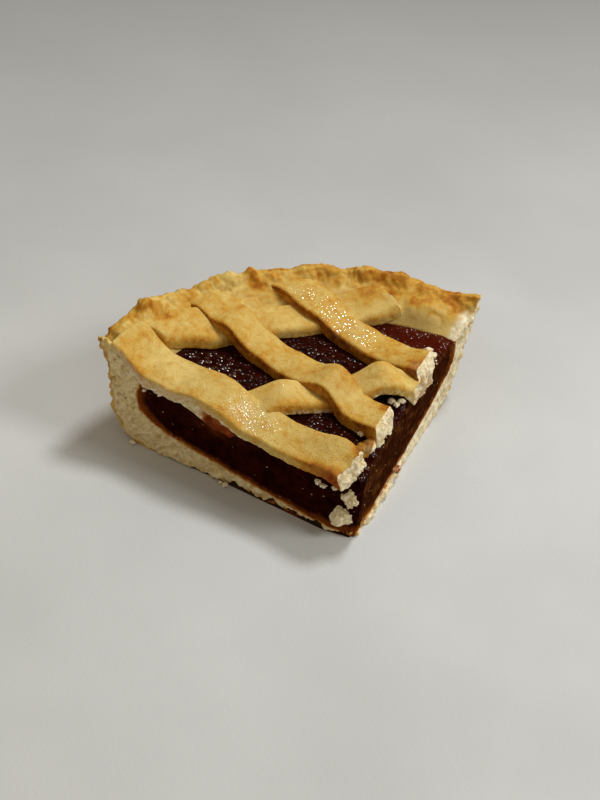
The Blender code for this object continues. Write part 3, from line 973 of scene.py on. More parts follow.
        # The left cut face lies in shade: there it takes less of the pale crumb colour and more of
        # the baked one, painted warm shade
        crumb = self.on_cut * (1.0 - 0.8 * golden_skin) * np.where(self.on_left, 0.58, 1.0)
        crumb = np.maximum(crumb, self.bare_inside()) * (1.0 - 0.7 * self.corner)
        crumb *= (1.0 - 0.4 * scorch) * (1.0 - self.foot)
        reach = np.where(self.on_right, SYRUP_REACH_RIGHT, SYRUP_REACH_LEFT)
        wet = falloff((self.from_jam + 0.0007 * self.crumb_lumps) / reach, 0.0, 1.0)
        # The foot's stain reaches the near black syrup colour: scorched crust and painted gap
        # shadow
        stain = np.maximum(self.on_cut * wet * 0.5,
                           self.foot * (0.95 - 0.55 * smoothstep(self.flakes, 0.2, 0.6)))
        # Painted shade in the pores of the cut faces, much stronger on the shaded left face
        pores = np.where(self.on_left, 0.75, 0.20) * self.pores
        return dict(toast=toast, crumb=crumb, stain=stain, wash=np.zeros(len(toast)),
                    hollow=self.on_cut * (self.crumb_pits + pores))


def build_crust(material):
    piece, points, normals, fields = crust_shape().build("crust_baked", material)
    surface = CrustSurface(points, fields)
    moved = points + normals * surface.relief()[:, None]
    moved[:, 2] = np.maximum(moved[:, 2], 0.0)
    move_points(piece, moved)
    paint(piece, **surface.colours())
    return piece


# The jam

# The jam's unevenness: size of its lumps, number of sizes of lumps where it has several, and seed
JAM_BEADS = (0.0017, 61)
JAM_PULP = (0.0046, 4, 71)
JAM_GRIT = (0.0018, 2, 75)
JAM_TIP_LUMPS = (0.0056, 79)
JAM_STREAKS = (0.0085, 81)
JAM_GLOSS_CLUSTERS = (0.0100, 85)
JAM_DUST_PATCHES = (0.0040, 3, 87)

# How far each kind of unevenness moves the surface outwards
JAM_SWELL = 0.00015
JAM_TOP_RELIEF = {"level": 0.00006, "pulp": 0.00034, "beads": -0.00012}
JAM_CUT_RELIEF = {"level": -0.00010, "pulp": 0.00055, "grit": 0.00016, "beads": -0.00020}
JAM_CUT_EDGE_DROP = 0.0009
JAM_TOP_EDGE_DROP = 0.0010
JAM_TIP_RELIEF = 0.0013

# Where the parts of the jam begin and end: radii, heights, angles and how wide its margin is
JAM_TIP_RADII = (0.008, 0.034)
JAM_TOP_HEIGHT = 0.028
JAM_MARGIN = 0.0024
JAM_WALL_MARGIN = 0.0022
JAM_WALL_MARGIN_RADII = (0.080, 0.098)
JAM_TIP_MARGIN = 0.0026
GLOW_ANGLES = (math.radians(12.0), math.radians(36.0))
GLOW_RADII = (0.074, 0.094)
AMBER_HEIGHTS = (0.019, 0.028)

# Where its tip's margin, its amber smear, its dust of crumb and its bright spot are: middle and
# half width
JAM_TIP_MARGIN_RADIUS = (0.0, 0.022)
AMBER_RADIUS = (0.064, 0.010)
DUST_RADIUS = (0.0150, 0.0150)
DUST_HEIGHT = (0.0270, 0.0080)
DUST_REACH = (0.0, 0.0050)
BRIGHT_RADIUS = (0.0850, 0.0100)
BRIGHT_ANGLE = (-0.480, 0.070)


def jam_shape():
    """The jam's skin and its two cut faces."""
    shape = Shape()
    bottom_at = np.linspace(0.0, JAM_WALL_KNOT, JAM_BOTTOM_STATIONS)
    wall_radius = shell_inner(np.array((JAM_WALL_KNOT,)), RIM_HEIGHT)[0, 0]
    top_share = np.linspace(1.0, 0.0, int((wall_radius - TIP_RADIUS) / JAM_SPACING))
    up = np.linspace(0.0, 1.0, JAM_CUT_ROWS)
    top_start = LIP_KNOT + 1.0
    loop_at = np.concatenate((bottom_at, top_start - top_share, top_start + 1.0 - up[-2:0:-1]))

    def top_points(share, angle):
        radius = TIP_RADIUS + (wall_radius - TIP_RADIUS) * share
        level = jam_top(radius * np.sin(angle), radius * np.cos(angle))
        return np.column_stack((radius, level + MENISCUS_RISE * np.exp(
            (radius - wall_radius) / MENISCUS_WIDTH)))

    def section_at(angle):
        bottom = shell_inner(bottom_at, RIM_HEIGHT)
        top = top_points(top_share, angle)
        tip = bottom[0] + (top[-1] - bottom[0]) * up[-2:0:-1, None]
        return np.vstack((bottom, top, tip))

    skin = shape.sweep(section_at, wall_radius, JAM_SPACING)
    wall_gap = LIP_KNOT - JAM_WALL_KNOT
    for side, column in ((-1.0, skin[0]), (1.0, skin[-1])):
        along = even_stations(lambda w: shell_inner(w, RIM_HEIGHT), 0.0, JAM_WALL_KNOT,
                              JAM_CUT_SPACING)
        share = np.linspace(0.0, 1.0, len(along))
        low = shell_inner(along, RIM_HEIGHT)
        top = top_points(share, side * HALF_ANGLE)
        net = low[:, None, :] + (top - low)[:, None, :] * up[None, :, None]
        places = (along, JAM_WALL_KNOT + wall_gap * up[1:-1], top_start - share[::-1],
                  top_start + 1.0 - up[-2:0:-1])
        shape.cut_face(net, side, column, loop_at, places, top_start + 1.0)
    return shape


class JamSurface(CutSurface):
    """The jam's unevenness, and what it does to its surface and its colour."""

    def __init__(self, points, fields):
        super().__init__(points, fields["cut"])
        self.points = points
        self.on_top = self.off_cut * (self.height > JAM_TOP_HEIGHT)
        self.beads, _ = cells(points, *JAM_BEADS)
        self.pulp = rough(points, *JAM_PULP)
        self.grit = rough(points, *JAM_GRIT)

    def relief(self):
        """How far each point moves outwards."""
        move = JAM_SWELL + self.on_top * self.sum_of(JAM_TOP_RELIEF)
        move += self.on_cut * self.sum_of(JAM_CUT_RELIEF)
        at_edge = falloff(self.below_jam_top, 0.0, JAM_EDGE_ROUNDING)
        move -= self.on_cut * JAM_CUT_EDGE_DROP * at_edge
        at_edge = falloff(np.minimum(self.to_left, self.to_right), 0.0, JAM_EDGE_ROUNDING)
        move -= self.on_top * JAM_TOP_EDGE_DROP * at_edge
        at_tip = (1.0 - self.on_top) * falloff(self.radius, *JAM_TIP_RADII)
        return move + at_tip * JAM_TIP_RELIEF * noise(self.points, *JAM_TIP_LUMPS)

    def thin_places(self, streaks):
        """How far light comes through the jam's edge, and through the amber smear on its left."""
        margin = JAM_MARGIN + JAM_WALL_MARGIN * smoothstep(self.radius, *JAM_WALL_MARGIN_RADII)
        at_tip = (1.0 - self.on_right) * hump(self.radius, *JAM_TIP_MARGIN_RADIUS)
        margin += JAM_TIP_MARGIN * at_tip
        to_shell = jam_side_distance(self.radius, self.height)
        thin = 0.85 * falloff((to_shell + 0.0009 * self.pulp) / margin, 0.0, 1.0)
        thin *= 1.0 - 0.85 * self.on_top
        amber = smoothstep(streaks + 0.7 * self.pulp, -0.5, 0.6)
        amber *= smoothstep(self.height, *AMBER_HEIGHTS) * hump(self.radius, *AMBER_RADIUS)
        return np.maximum(thin, 0.65 * amber * self.on_left)

    def colours(self):
        streaks = noise(self.points * (1.0, 1.0, 2.2), *JAM_STREAKS)
        glow = self.on_top * smoothstep(self.angle, *GLOW_ANGLES)
        glow *= smoothstep(self.radius + 0.004 * self.pulp, *GLOW_RADII)
        smear = 0.16 + 0.70 * smoothstep(streaks + 0.5 * self.pulp, 0.0, 0.8)
        dust = hump(self.radius, *DUST_RADIUS) * hump(self.height, *DUST_HEIGHT)
        dust *= hump(self.to_right, *DUST_REACH)
        dust = smoothstep(dust + 0.8 * rough(self.points, *JAM_DUST_PATCHES), 0.50, 1.10)
        clusters = smoothstep(noise(self.points, *JAM_GLOSS_CLUSTERS), -0.1, 0.4)
        bright = hump(self.radius, *BRIGHT_RADIUS) * hump(self.angle, *BRIGHT_ANGLE)
        gloss = self.on_top * (0.07 + 0.18 * clusters + 0.75 * bright)
        return dict(thin=self.thin_places(streaks), glow=0.35 * glow, smear=self.on_right * smear,
                    dust=dust, gloss=gloss)


def build_jam(material):
    piece, points, normals, fields = jam_shape().build("jam_filling", material)
    surface = JamSurface(points, fields)
    move_points(piece, points + normals * surface.relief()[:, None])
    paint(piece, **surface.colours())
    return piece


# The lattice strips

# A strip's unevenness: size of its lumps, number of sizes of lumps where it has several, seed
STRIP_SWELL = (0.0150, 2, 101)
STRIP_SAND = (0.0024, 2, 111)
STRIP_RAGS = (0.0020, 3, 121)
STRIP_CHUNKS = (0.0046, 3, 125)
STRIP_PORES = (0.0014, 3, 131)
STRIP_SWAY = (0.0135, 107)
STRIP_SWAY_WIDTH = 0.0008
STRIP_FRAY = (0.0042, 3, 137)
STRIP_FRAY_DEPTH = 0.0012
STRIP_FRAY_REACH = (0.0050, 0.0010)

# How rounded and worn a strip's ends are
FREE_END_WEAR = 0.0006
CAP_ROUNDING = 0.0004
RIM_CAP_ROUNDING = 0.0010

# How far each kind of unevenness moves a strip's surface outwards
STRIP_RELIEF = {"swell": 0.00055, "sand": 0.00014}
CRUMBLY_RELIEF = {"ragged": 0.00044, "holes": -0.00036}
TORN_RELIEF = {"chunks": 0.00055, "level": -0.0001}
FOOT_CHUNKS = 0.0009
SLICED_CHUNKS = 0.0005
ALL_OVER_CHUNKS = 0.0030
SOAKED_CHUNKS = 0.0007


def strip_section(spacing, width, thickness, rounding):
    """Places round a strip's section, evenly apart: across and up, from -1 to 1."""
    quarter = np.linspace(0.0, 0.5 * math.pi, CORNER_STATIONS)
    corners = []
    for index, (side, level) in enumerate(((1, 1), (-1, 1), (-1, -1), (1, -1))):
        radius = rounding if level > 0 else STRIP_FOOT_ROUNDING
        turn = quarter + index * 0.5 * math.pi
        corners.append(np.column_stack((
            side * (width * 0.5 - radius) + radius * np.cos(turn),
            level * (thickness * 0.5 - radius) + radius * np.sin(turn))))
    outline = np.vstack((*corners, corners[0][:1]))
    length = lengths_along(outline)
    even = np.linspace(0.0, length[-1], int(length[-1] / spacing) + 1)[:-1]
    across, up = (np.interp(even, length, outline[:, axis]) for axis in (0, 1))
    return across * 2.0 / width, up * 2.0 / thickness


@dataclass
class Strip:
    """A flat strip of dough, laid in a straight line across the jam.

    Left and right are as seen along the strip from its start. A distance across it counts
    from its middle line to the left.
    """

    name: str
    # The middle of its ends, in plan from the tip, and its width at both
    start: tuple
    finish: tuple
    widths: tuple
    # Where it climbs over another strip or is pressed down: distance along it and height
    lifts: tuple
    # What ends it: "rim", "rim_beside_front" where the front strip is in the way, the "left" or
    # "right" cut face, or "free" for a torn end
    ends: tuple
    # How far its top is baked, and how much further its sides are
    toast: float
    # Spots: field, distance along, distance across, half length, half width and strength
    marks: tuple = ()
    flank_toast: float = 0.24
    # How much lower its right side lies than its left, at the start and at the finish
    tilt: tuple = (0.0, 0.0)
    # How far a torn end is turned: distance along for a distance across
    skew: float = 0.0
    # How far inside a cut face it ends
    inset: float = 0.0
    # At its finish, how far its foot stands out from its top and how far it hangs down
    lean: float = 0.0
    droop: float = 0.0
    thickness: float = STRIP_THICKNESS
    # The radius of its upper edges
    rounding: float = 0.0014
    # 1 where its rim end is pressed into the rim
    melt: float = 1.0
    # How far it has crumbled
    crumbling: float = 0.0
    # How far its right foot stands off the cut strip below, and up to what distance along it
    # its right side is a cut face
    foot_rise: float = 0.0
    cut_flank: float = -1.0
    # Whether syrup has reached its ends
    soaked_ends: bool = False

    def __post_init__(self):
        self.start = np.array(self.start)
        self.run = np.array(self.finish) - self.start
        self.length = float(np.hypot(*self.run))
        self.run = self.run / self.length
        self.side = np.array((-self.run[1], self.run[0]))

    def plan(self, reach, across):
        x = self.start[0] + self.run[0] * reach + self.side[0] * across
        y = self.start[1] + self.run[1] * reach + self.side[1] * across
        return x, y

    def top(self, reach, across):
        """Height of the strip's middle or of a line beside it."""
        x, y = self.plan(reach, across)
        radius = np.hypot(x, y)
        height = jam_top(x, y) - STRIP_SINK + self.thickness
        for where, rise in self.lifts:
            height = height + rise * hump(reach, where, LIFT_HALF_LENGTH)
        on_rim = smoothstep(radius, *RIM_BLEND)
        height = height * (1.0 - on_rim) + STRIP_RIM_HEIGHT * on_rim
        return height - self.melt * MELT_DROP * smoothstep(radius, *MELT_BLEND)

    def room_before_end(self, reach, across, end):
        """How far a point of the strip is inside what ends it."""
        x, y = self.plan(reach, across)
        to_rim = STRIP_RIM_RADIUS + self.melt * MELT_REACH - np.hypot(x, y)
        if end == "rim":
            return to_rim
        if end == "rim_beside_front":
            offset = (x - FRONT_STRIP.start[0]) * FRONT_STRIP.side[0]
            offset = offset + (y - FRONT_STRIP.start[1]) * FRONT_STRIP.side[1]
            return np.minimum(to_rim, offset - max(FRONT_STRIP.widths) * 0.5 - BESIDE_GAP)
        side = -1.0 if end == "left" else 1.0
        return cut_distance(x, y, self.top(reach, across), side) - self.inset

    def limit(self, across, which):
        """Distance along the strip at which its lines start or end."""
        end = self.ends[which]
        if end == "free":
            turned = self.length + self.skew * across
            return turned - FREE_END_WEAR * (2.0 * across / self.widths[1]) ** 4
        lines = np.linspace(-0.55, 0.55, LIMIT_LINES) * max(self.widths)
        direction = 1.0 if which else -1.0
        reach = np.full(LIMIT_LINES, self.length * 0.5)
        for _ in range(LIMIT_ROUNDS):
            reach = reach + direction * self.room_before_end(reach, lines, end) * LIMIT_STEP
        return np.interp(across, lines, reach)

    def rings(self, share, section, scale=1.0, push=0.0):
        """Cross-sections at the given shares of the length, with each point's own place."""
        across, up = section
        share = np.asarray(share, dtype=float)[:, None]
        width = self.widths[0] + (self.widths[1] - self.widths[0]) * share
        slope = (self.tilt[0] + (self.tilt[1] - self.tilt[0]) * share) / width
        offset = across * width * 0.5 * scale
        reach = self.limit(offset, 0) * (1.0 - share) + self.limit(offset, 1) * share + push
        reach = reach - self.lean * up * scale * 0.5 * smoothstep(share, *LEAN_SHARES)
        x, y = self.plan(reach, offset)
        middle = self.top(reach, offset * STRIP_EDGE_FOLLOW) - self.thickness * 0.5
        raised = smoothstep(-up * scale, -0.2, 0.9) * smoothstep(-across * scale, 0.2, 0.9)
        middle = middle + self.foot_rise * raised * hump(reach, *FOOT_RISE_PLACE)
        z = middle + up * self.thickness * 0.5 * scale + slope * offset
        z = z - STRIP_EDGE_DROP * (across * scale) ** 2 * smoothstep(up * scale, -0.6, 0.6)
        z = z - self.droop * smoothstep(-up * scale, -0.2, 1.0) * smoothstep(share, *DROOP_SHARES)
        points = np.stack((x + TIP[0], y + TIP[1], z), axis=-1)
        fields = dict(reach=reach, offset=offset, across=across * scale, up=up * scale)
        return points, fields

    def build(self, material):
        shape = Shape()
        section = strip_section(STRIP_SPACING, max(self.widths), self.thickness, self.rounding)
        count = int(self.length / STRIP_SPACING)
        points, fields = self.rings(np.linspace(0.0, 1.0, count), section)
        body = shape.add(points, end=0.0, **fields)
        shape.tube(body)
        for which, ring in ((0, body[0]), (1, body[-1])):
            self.build_end(shape, section, which, ring)
        piece, points, normals, fields = shape.build(self.name + "_baked", material)
        surface = StripSurface(self, points, fields)
        move_points(piece, points + normals * surface.relief()[:, None] + surface.sway())
        paint(piece, **surface.colours())
        return piece

    def build_end(self, shape, section, which, ring):
        """Rings that close an end, rounded at its edge and flat within."""
        on_rim = self.ends[which].startswith("rim")
        rounding = RIM_CAP_ROUNDING if on_rim else CAP_ROUNDING
        turns = np.linspace(0.0, math.pi * 0.5, CAP_EDGE_STATIONS)[1:]
        steps = [(1.0 - rounding / self.thickness * 2.0 * (1.0 - math.cos(turn)),
                  rounding * math.sin(turn)) for turn in turns]
        inner = np.linspace(steps[-1][0], 0.0, CAP_RINGS)[1:-1]
        steps += [(scale, rounding) for scale in inner]
        torn = 0.0 if on_rim else 1.0
        direction = 1.0 if which else -1.0
        for scale, push in steps:
            points, fields = self.rings([float(which)], section, scale, push * direction)
            following = shape.add(points, end=torn, **fields)
            shape.tube(np.vstack((ring, following[0])))
            ring = following[0]
        points, fields = self.rings([float(which)], section, 0.0, rounding * direction)
        middle = shape.add(points[:, :1], end=torn, across=0.0, up=0.0, offset=0.0,
                           reach=fields["reach"][:, :1])
        shape.fan(ring, middle[0, 0])


class StripSurface(Unevenness):
    """The uneven, sandy surface of a strip of baked dough, and its colour."""

    def __init__(self, strip, points, fields):
        super().__init__()
        self.strip = strip
        self.points = points
        self.reach = fields["reach"]
        self.offset = fields["offset"]
        self.across = fields["across"]
        self.up = fields["up"]
        self.torn = fields["end"]
        self.swell = rough(points, *STRIP_SWELL)
        self.sand = rough(points, *STRIP_SAND)
        self.ragged = rough(points, *STRIP_RAGS)
        self.chunks = rough(points, *STRIP_CHUNKS)
        self.holes = smoothstep(rough(points, *STRIP_PORES), 0.15, 0.80)
        self.flank = smoothstep(np.abs(self.across), 0.85, 0.97)
        self.foot = smoothstep(-self.up, -0.3, 0.5) * self.flank
        self.all_over = max(0.0, strip.crumbling - 0.5)
        self.sliced = smoothstep(-self.across, 0.90, 0.98) * smoothstep(-self.up, -0.9, -0.6)
        self.sliced *= falloff(self.reach + 0.004 * self.chunks, strip.cut_flank - 0.008,
                               strip.cut_flank + 0.004)
        crumbly = self.foot * (0.5 + strip.crumbling) + self.torn + self.all_over + self.sliced
        self.crumbly = np.clip(crumbly, 0.0, 1.0)

    def relief(self):
        """How far each point moves outwards."""
        chunks = self.strip.crumbling * self.foot * FOOT_CHUNKS + self.sliced * SLICED_CHUNKS
        chunks += self.all_over * ALL_OVER_CHUNKS
        chunks += self.strip.soaked_ends * self.torn * SOAKED_CHUNKS
        return (self.sum_of(STRIP_RELIEF) + self.crumbly * self.sum_of(CRUMBLY_RELIEF)
                + self.torn * self.sum_of(TORN_RELIEF) + chunks * self.chunks)

    def sway(self):
        """How far each point moves sideways and along the strip, which is rolled by hand."""
        sideways = STRIP_SWAY_WIDTH * noise(self.points * (1.0, 1.0, 0.3), *STRIP_SWAY)
        length = self.strip.length
        frayed = smoothstep(self.reach, *(length - edge for edge in STRIP_FRAY_REACH))
        frayed *= STRIP_FRAY_DEPTH * rough(self.points * (1.0, 1.0, 0.6), *STRIP_FRAY)
        move = np.outer(sideways * self.across, self.strip.side)
        move += np.outer(frayed, self.strip.run)
        return np.column_stack((move, np.zeros(len(move))))

    def spot(self, along, aside, half_length, half_width):
        """1 at the middle of a spot on the surface, fading outwards."""
        distance = np.hypot((self.reach - along) / half_length,
                            (self.offset - aside) / half_width)
        spot = np.exp(-distance ** 3 * (1.0 + 0.5 * self.sand))
        return spot if self.strip.soaked_ends else spot * (1.0 - self.torn)

    def colours(self):
        crumbling = self.strip.crumbling
        beside = np.abs(self.across)
        under = smoothstep(-self.up, 0.2, 0.9)
        toast = self.strip.toast + 0.12 * self.swell + 0.07 * self.sand
        toast = toast + 0.12 * smoothstep(self.up, 0.1, 0.8) * smoothstep(beside, 0.72, 0.93)
        toast = toast + self.strip.flank_toast * smoothstep(beside, 0.90, 0.99)
        toast = toast - 0.30 * under * (1.0 - self.flank) + 0.20 * self.sliced
        raw = self.foot * smoothstep(self.ragged + 2.0 * crumbling, 0.4, 1.0)
        raw = np.maximum(raw, 2.0 * self.all_over * smoothstep(self.chunks, 0.0, 0.5))
        raw = np.maximum(raw, 0.6 * self.sliced)
        blank = np.zeros(len(toast))
        # The crumbly places get painted shade in their pores
        layers = dict(toast=toast, wash=blank, stain=blank,
                      crumb=np.where(self.torn, 0.9, 0.8 * raw),
                      hollow=0.5 * self.crumbly * self.holes)
        for name, along, aside, half_length, half_width, strength in self.strip.marks:
            spot = self.spot(along, aside, half_length, half_width)
            layers[name] = layers[name] + strength * spot
        layers["stain"] = np.minimum(layers["stain"], STRIP_STAIN_LIMIT)
        return layers


FRONT_STRIP = Strip(
    "strip_front", start=(-0.0715, 0.0862), finish=(-0.0035, 0.0049),
    widths=(0.0214, 0.0138), lifts=((0.042, 0.0026), (0.098, 0.0032)),
    ends=("rim", "free"), toast=0.25, marks=(
        ("wash", 0.0600, -0.0010, 0.0100, 0.0058, 1.0),
        ("toast", 0.0580, -0.0010, 0.012, 0.0065, 0.08),
        ("toast", 0.0930, 0.0010, 0.014, 0.0070, -0.04),
        ("toast", 0.026, 0.001, 0.011, 0.007, -0.14),
        ("toast", 0.036, 0.0045, 0.006, 0.005, 0.20),
        ("toast", 0.012, -0.0070, 0.010, 0.0030, 0.22),
        ("toast", 0.045, -0.0070, 0.012, 0.0025, 0.16),
        ("toast", 0.075, 0.0020, 0.026, 0.0090, 0.06),
        ("toast", 0.003, 0.0000, 0.0060, 0.0100, 0.22),
        ("toast", 0.0960, -0.0088, 0.014, 0.0044, 0.58),
        ("crumb", 0.0940, -0.0086, 0.020, 0.0050, -1.6),
        ("toast", 0.1030, -0.0050, 0.005, 0.0030, 0.16),
        ("stain", 0.1010, -0.0090, 0.009, 0.0034, 0.62),
        ("toast", 0.1050, 0.0056, 0.0045, 0.0036, 0.55),
    ), tilt=(0.0, 0.0036), skew=0.19, lean=0.0028, melt=0.0, flank_toast=0.0,
    crumbling=0.45, foot_rise=0.0018, cut_flank=0.040)

UPPER_STRIPS = (
    FRONT_STRIP,
    Strip("strip_middle", start=(-0.0318, 0.1060), finish=(0.0186, 0.0205),
          widths=(0.0172, 0.0150), lifts=((0.015, 0.0060), (0.067, 0.0070), (0.098, 0.0050)),
          ends=("rim", "right"), toast=0.39, marks=(
              ("toast", 0.0915, 0.0050, 0.004, 0.003, 0.45),
              ("toast", 0.040, 0.0010, 0.014, 0.005, -0.08),
              ("toast", 0.090, -0.0010, 0.012, 0.007, -0.08),
              ("wash", 0.072, 0.000, 0.012, 0.006, 0.15)),
          tilt=(0.0, 0.0015), inset=0.0016, lean=0.0036, droop=0.0050, flank_toast=0.38),
    Strip("strip_rear", start=(0.0050, 0.1155), finish=(0.0470, 0.0480),
          widths=(0.0168, 0.0160), lifts=((0.020, 0.0040), (0.076, 0.0056)),
          ends=("rim", "right"), toast=0.41, marks=(
              ("wash", 0.0370, 0.000, 0.0125, 0.0078, 1.0),
              ("wash", 0.012, -0.003, 0.008, 0.005, 0.3),
              ("wash", 0.0755, -0.0050, 0.004, 0.003, 1.0),
              ("toast", 0.0740, -0.0040, 0.005, 0.004, 0.42)),
          tilt=(0.0, 0.0010), inset=-0.0002, lean=0.0036, droop=0.0020, flank_toast=0.38),
)

CROSS_STRIPS = (
    Strip("cross_strip_rear", start=(-0.0620, 0.0940), finish=(0.0465, 0.0965),
          widths=(0.0172, 0.0160), lifts=((0.022, 0.0016), (0.057, 0.0006)),
          ends=("rim_beside_front", "free"), toast=0.28, marks=(
              ("toast", 0.0095, 0.0035, 0.006, 0.004, 0.40),
              ("toast", 0.0120, 0.0000, 0.018, 0.010, 0.10),
              ("toast", 0.0200, -0.0060, 0.010, 0.003, 0.26),
              ("toast", 0.0900, 0.0030, 0.012, 0.006, 0.18),
              ("toast", 0.1040, 0.0055, 0.009, 0.004, 0.24)),
          skew=-0.5, flank_toast=0.12, rounding=0.0026),
    Strip("cross_strip_middle", start=(-0.0480, 0.0480), finish=(0.0420, 0.0465),
          widths=(0.0170, 0.0150), lifts=((0.004, -0.0050), (0.030, 0.0026), (0.072, 0.0066)),
          ends=("left", "right"), toast=0.32, marks=(
              ("wash", 0.0300, 0.0, 0.010, 0.005, 0.2),
              ("toast", 0.0300, -0.0070, 0.012, 0.003, 0.22),
              ("stain", 0.0035, -0.0045, 0.012, 0.0060, 1.0),
              ("toast", 0.0030, 0.0060, 0.008, 0.0040, -0.10),
              ("stain", 0.0940, 0.0, 0.008, 0.009, 0.17),
              ("hollow", 0.0940, 0.0, 0.008, 0.009, 1.0),
              ("wash", 0.0940, 0.0, 0.008, 0.009, 1.0)),
          inset=-0.0012, lean=0.0016, droop=0.0026, crumbling=0.30, flank_toast=0.16,
          soaked_ends=True, rounding=0.0024),
    Strip("cross_strip_tip", start=(-0.0140, 0.0165), finish=(0.0150, 0.0185),
          widths=(0.0080, 0.0085), lifts=((0.008, -0.0034), (0.0175, -0.0026), (0.029, 0.0016)),
          ends=("left", "right"), toast=0.52, marks=(
              ("hollow", 0.024, -0.001, 0.010, 0.008, 1.0),
              ("stain", 0.026, 0.0, 0.008, 0.009, 0.24)),
          inset=0.0026, thickness=0.0052, crumbling=1.0, rounding=0.0020),
)


# Crumbs

# Clumps of crumb on the jam's left face: name, distance of the middle from the tip along the
# face, its height, half length, half height and depth
CRUMB_CLUMPS = (
    ("crumb_clump_upper", 0.0042, 0.0203, 0.0028, 0.0039, 0.0020),
    ("crumb_clump_lower", 0.0060, 0.0104, 0.0048, 0.0043, 0.0028),
)

# How a clump swells and how uneven it is: size of its lumps, number of sizes of lumps where it
# has several, seed, and how deep they are
CLUMP_SWELL = 0.18
CLUMP_WAVES = (3.1, 2.7)
CLUMP_LUMPS = (0.0048, 3, 141)
CLUMP_GRAINS = (0.0011, 143)
CLUMP_PORES = (0.0020, 3, 146)
CLUMP_LUMP_DEPTH = 0.00190
CLUMP_GRAIN_DEPTH = 0.00045
CLUMP_PORE_DEPTH = 0.00060
CLUMP_FINENESS = 6


def ball(subdivisions):
    work = bmesh.new()
    bmesh.ops.create_icosphere(work, subdivisions=subdivisions, radius=1.0)
    points = np.array([vertex.co[:] for vertex in work.verts])
    faces = [[vertex.index for vertex in face.verts] for face in work.faces]
    work.free()
    return points, faces


def build_clump(name, along, height, half_length, half_height, depth, material):
    """A lump of crumb pressed into the jam's left face."""
    unit, faces = ball(CLUMP_FINENESS)
    face_run = np.array((-math.sin(HALF_ANGLE), math.cos(HALF_ANGLE)))
    face_out = np.array((-math.cos(HALF_ANGLE), -math.sin(HALF_ANGLE)))
    waves = np.sin(CLUMP_WAVES[0] * unit[:, 0] + height / half_height)
    lump = 1.0 + CLUMP_SWELL * waves * np.cos(CLUMP_WAVES[1] * unit[:, 2])
    plan = face_run * (along + half_length * lump * unit[:, 0])[:, None]
    plan = plan + face_out * (depth * lump * unit[:, 1])[:, None]
    z = height + half_height * lump * unit[:, 2]
    angle = np.arctan2(plan[:, 0], plan[:, 1])
    shape = Shape()
    shape.add(place(np.hypot(*plan.T), angle, z))
    shape.faces = faces
    piece, points, normals, _ = shape.build(name + "_crumb", material)
    lumps = rough(points, *CLUMP_LUMPS)
    apart, _ = cells(points, *CLUMP_GRAINS)
    holes = smoothstep(rough(points, *CLUMP_PORES), 0.0, 0.6)
    move = CLUMP_LUMP_DEPTH * lumps - CLUMP_PORE_DEPTH * holes
    move += CLUMP_GRAIN_DEPTH * (0.45 - apart)
    move_points(piece, points + normals * move[:, None])
    blank = np.zeros(len(points))
    # The clump gets painted shade in its pores
    paint(piece, toast=blank, crumb=blank + 0.62, stain=smoothstep(-lumps, 0.35, 0.9) * 0.2,
          wash=blank, hollow=0.15 * holes)
    return piece


# Loose crumbs that touch the slice, dry ones, ones that syrup has wetted and ones that are full
# of it: radius and angle in degrees from the tip, height of the middle, size
DRY_CRUMBS = (
    (0.1008, -45.4, 0.0010, 0.0012),
    (0.0570, -46.4, 0.0011, 0.0013),
    (0.0592, -45.9, 0.0008, 0.0009),
    (0.0278, 15.3, 0.0330, 0.0012),
    (0.0255, 16.8, 0.0338, 0.0014),
    (0.0268, 21.0, 0.0336, 0.0010),
    (0.0250, 26.0, 0.0340, 0.0013),
    (0.0487, 35.7, 0.0336, 0.0016),
    (0.0472, 39.2, 0.0338, 0.0013),
    (0.0500, 40.6, 0.0338, 0.0017),
    (0.0869, 40.6, 0.0348, 0.0017),
    (0.0848, 42.2, 0.0345, 0.0019),
    (0.0834, 43.6, 0.0325, 0.0016),
    (0.1013, -44.9, 0.0334, 0.0009),
    (0.0980, -44.9, 0.0303, 0.0008),
    (0.0925, -45.0, 0.0325, 0.0010),
    (0.0905, -45.1, 0.0322, 0.0012),
    (0.0868, -45.1, 0.0332, 0.0009),
    (0.0820, -45.1, 0.0330, 0.0011),
    (0.0185, -45.6, 0.0226, 0.0016),
    (0.0160, -46.2, 0.0216, 0.0015),
    (0.0112, -47.2, 0.0230, 0.0013),
    (0.0258, 40.5, 0.0310, 0.0014),
)
WET_CRUMBS = (
    (0.0661, 42.6, 0.0342, 0.0023),
    (0.0700, 42.7, 0.0336, 0.0022),
    (0.0735, 43.2, 0.0315, 0.0018),
    (0.0680, 43.9, 0.0298, 0.0019),
    (0.0626, 43.0, 0.0326, 0.0020),
    (0.0500, 42.9, 0.0310, 0.0012),
    (0.0560, 43.6, 0.0300, 0.0011),
)
SOAKED_CRUMBS = (
    (0.0417, 44.8, 0.0054, 0.0022),
    (0.0400, 45.1, 0.0066, 0.0014),
)
WET_STAIN = 0.17
SOAKED_STAIN = 0.50

# The shape of a loose crumb and how uneven it is, as for a clump
CRUMB_SQUASH = (1.0, 0.85, 0.75)
CRUMB_SHAPES = (0.9, 3, 151)
CRUMB_SHAPE_DEPTH = 0.55
LOOSE_CRUMB_PORES = (0.0012, 2, 157)
LOOSE_CRUMB_FINENESS = 4


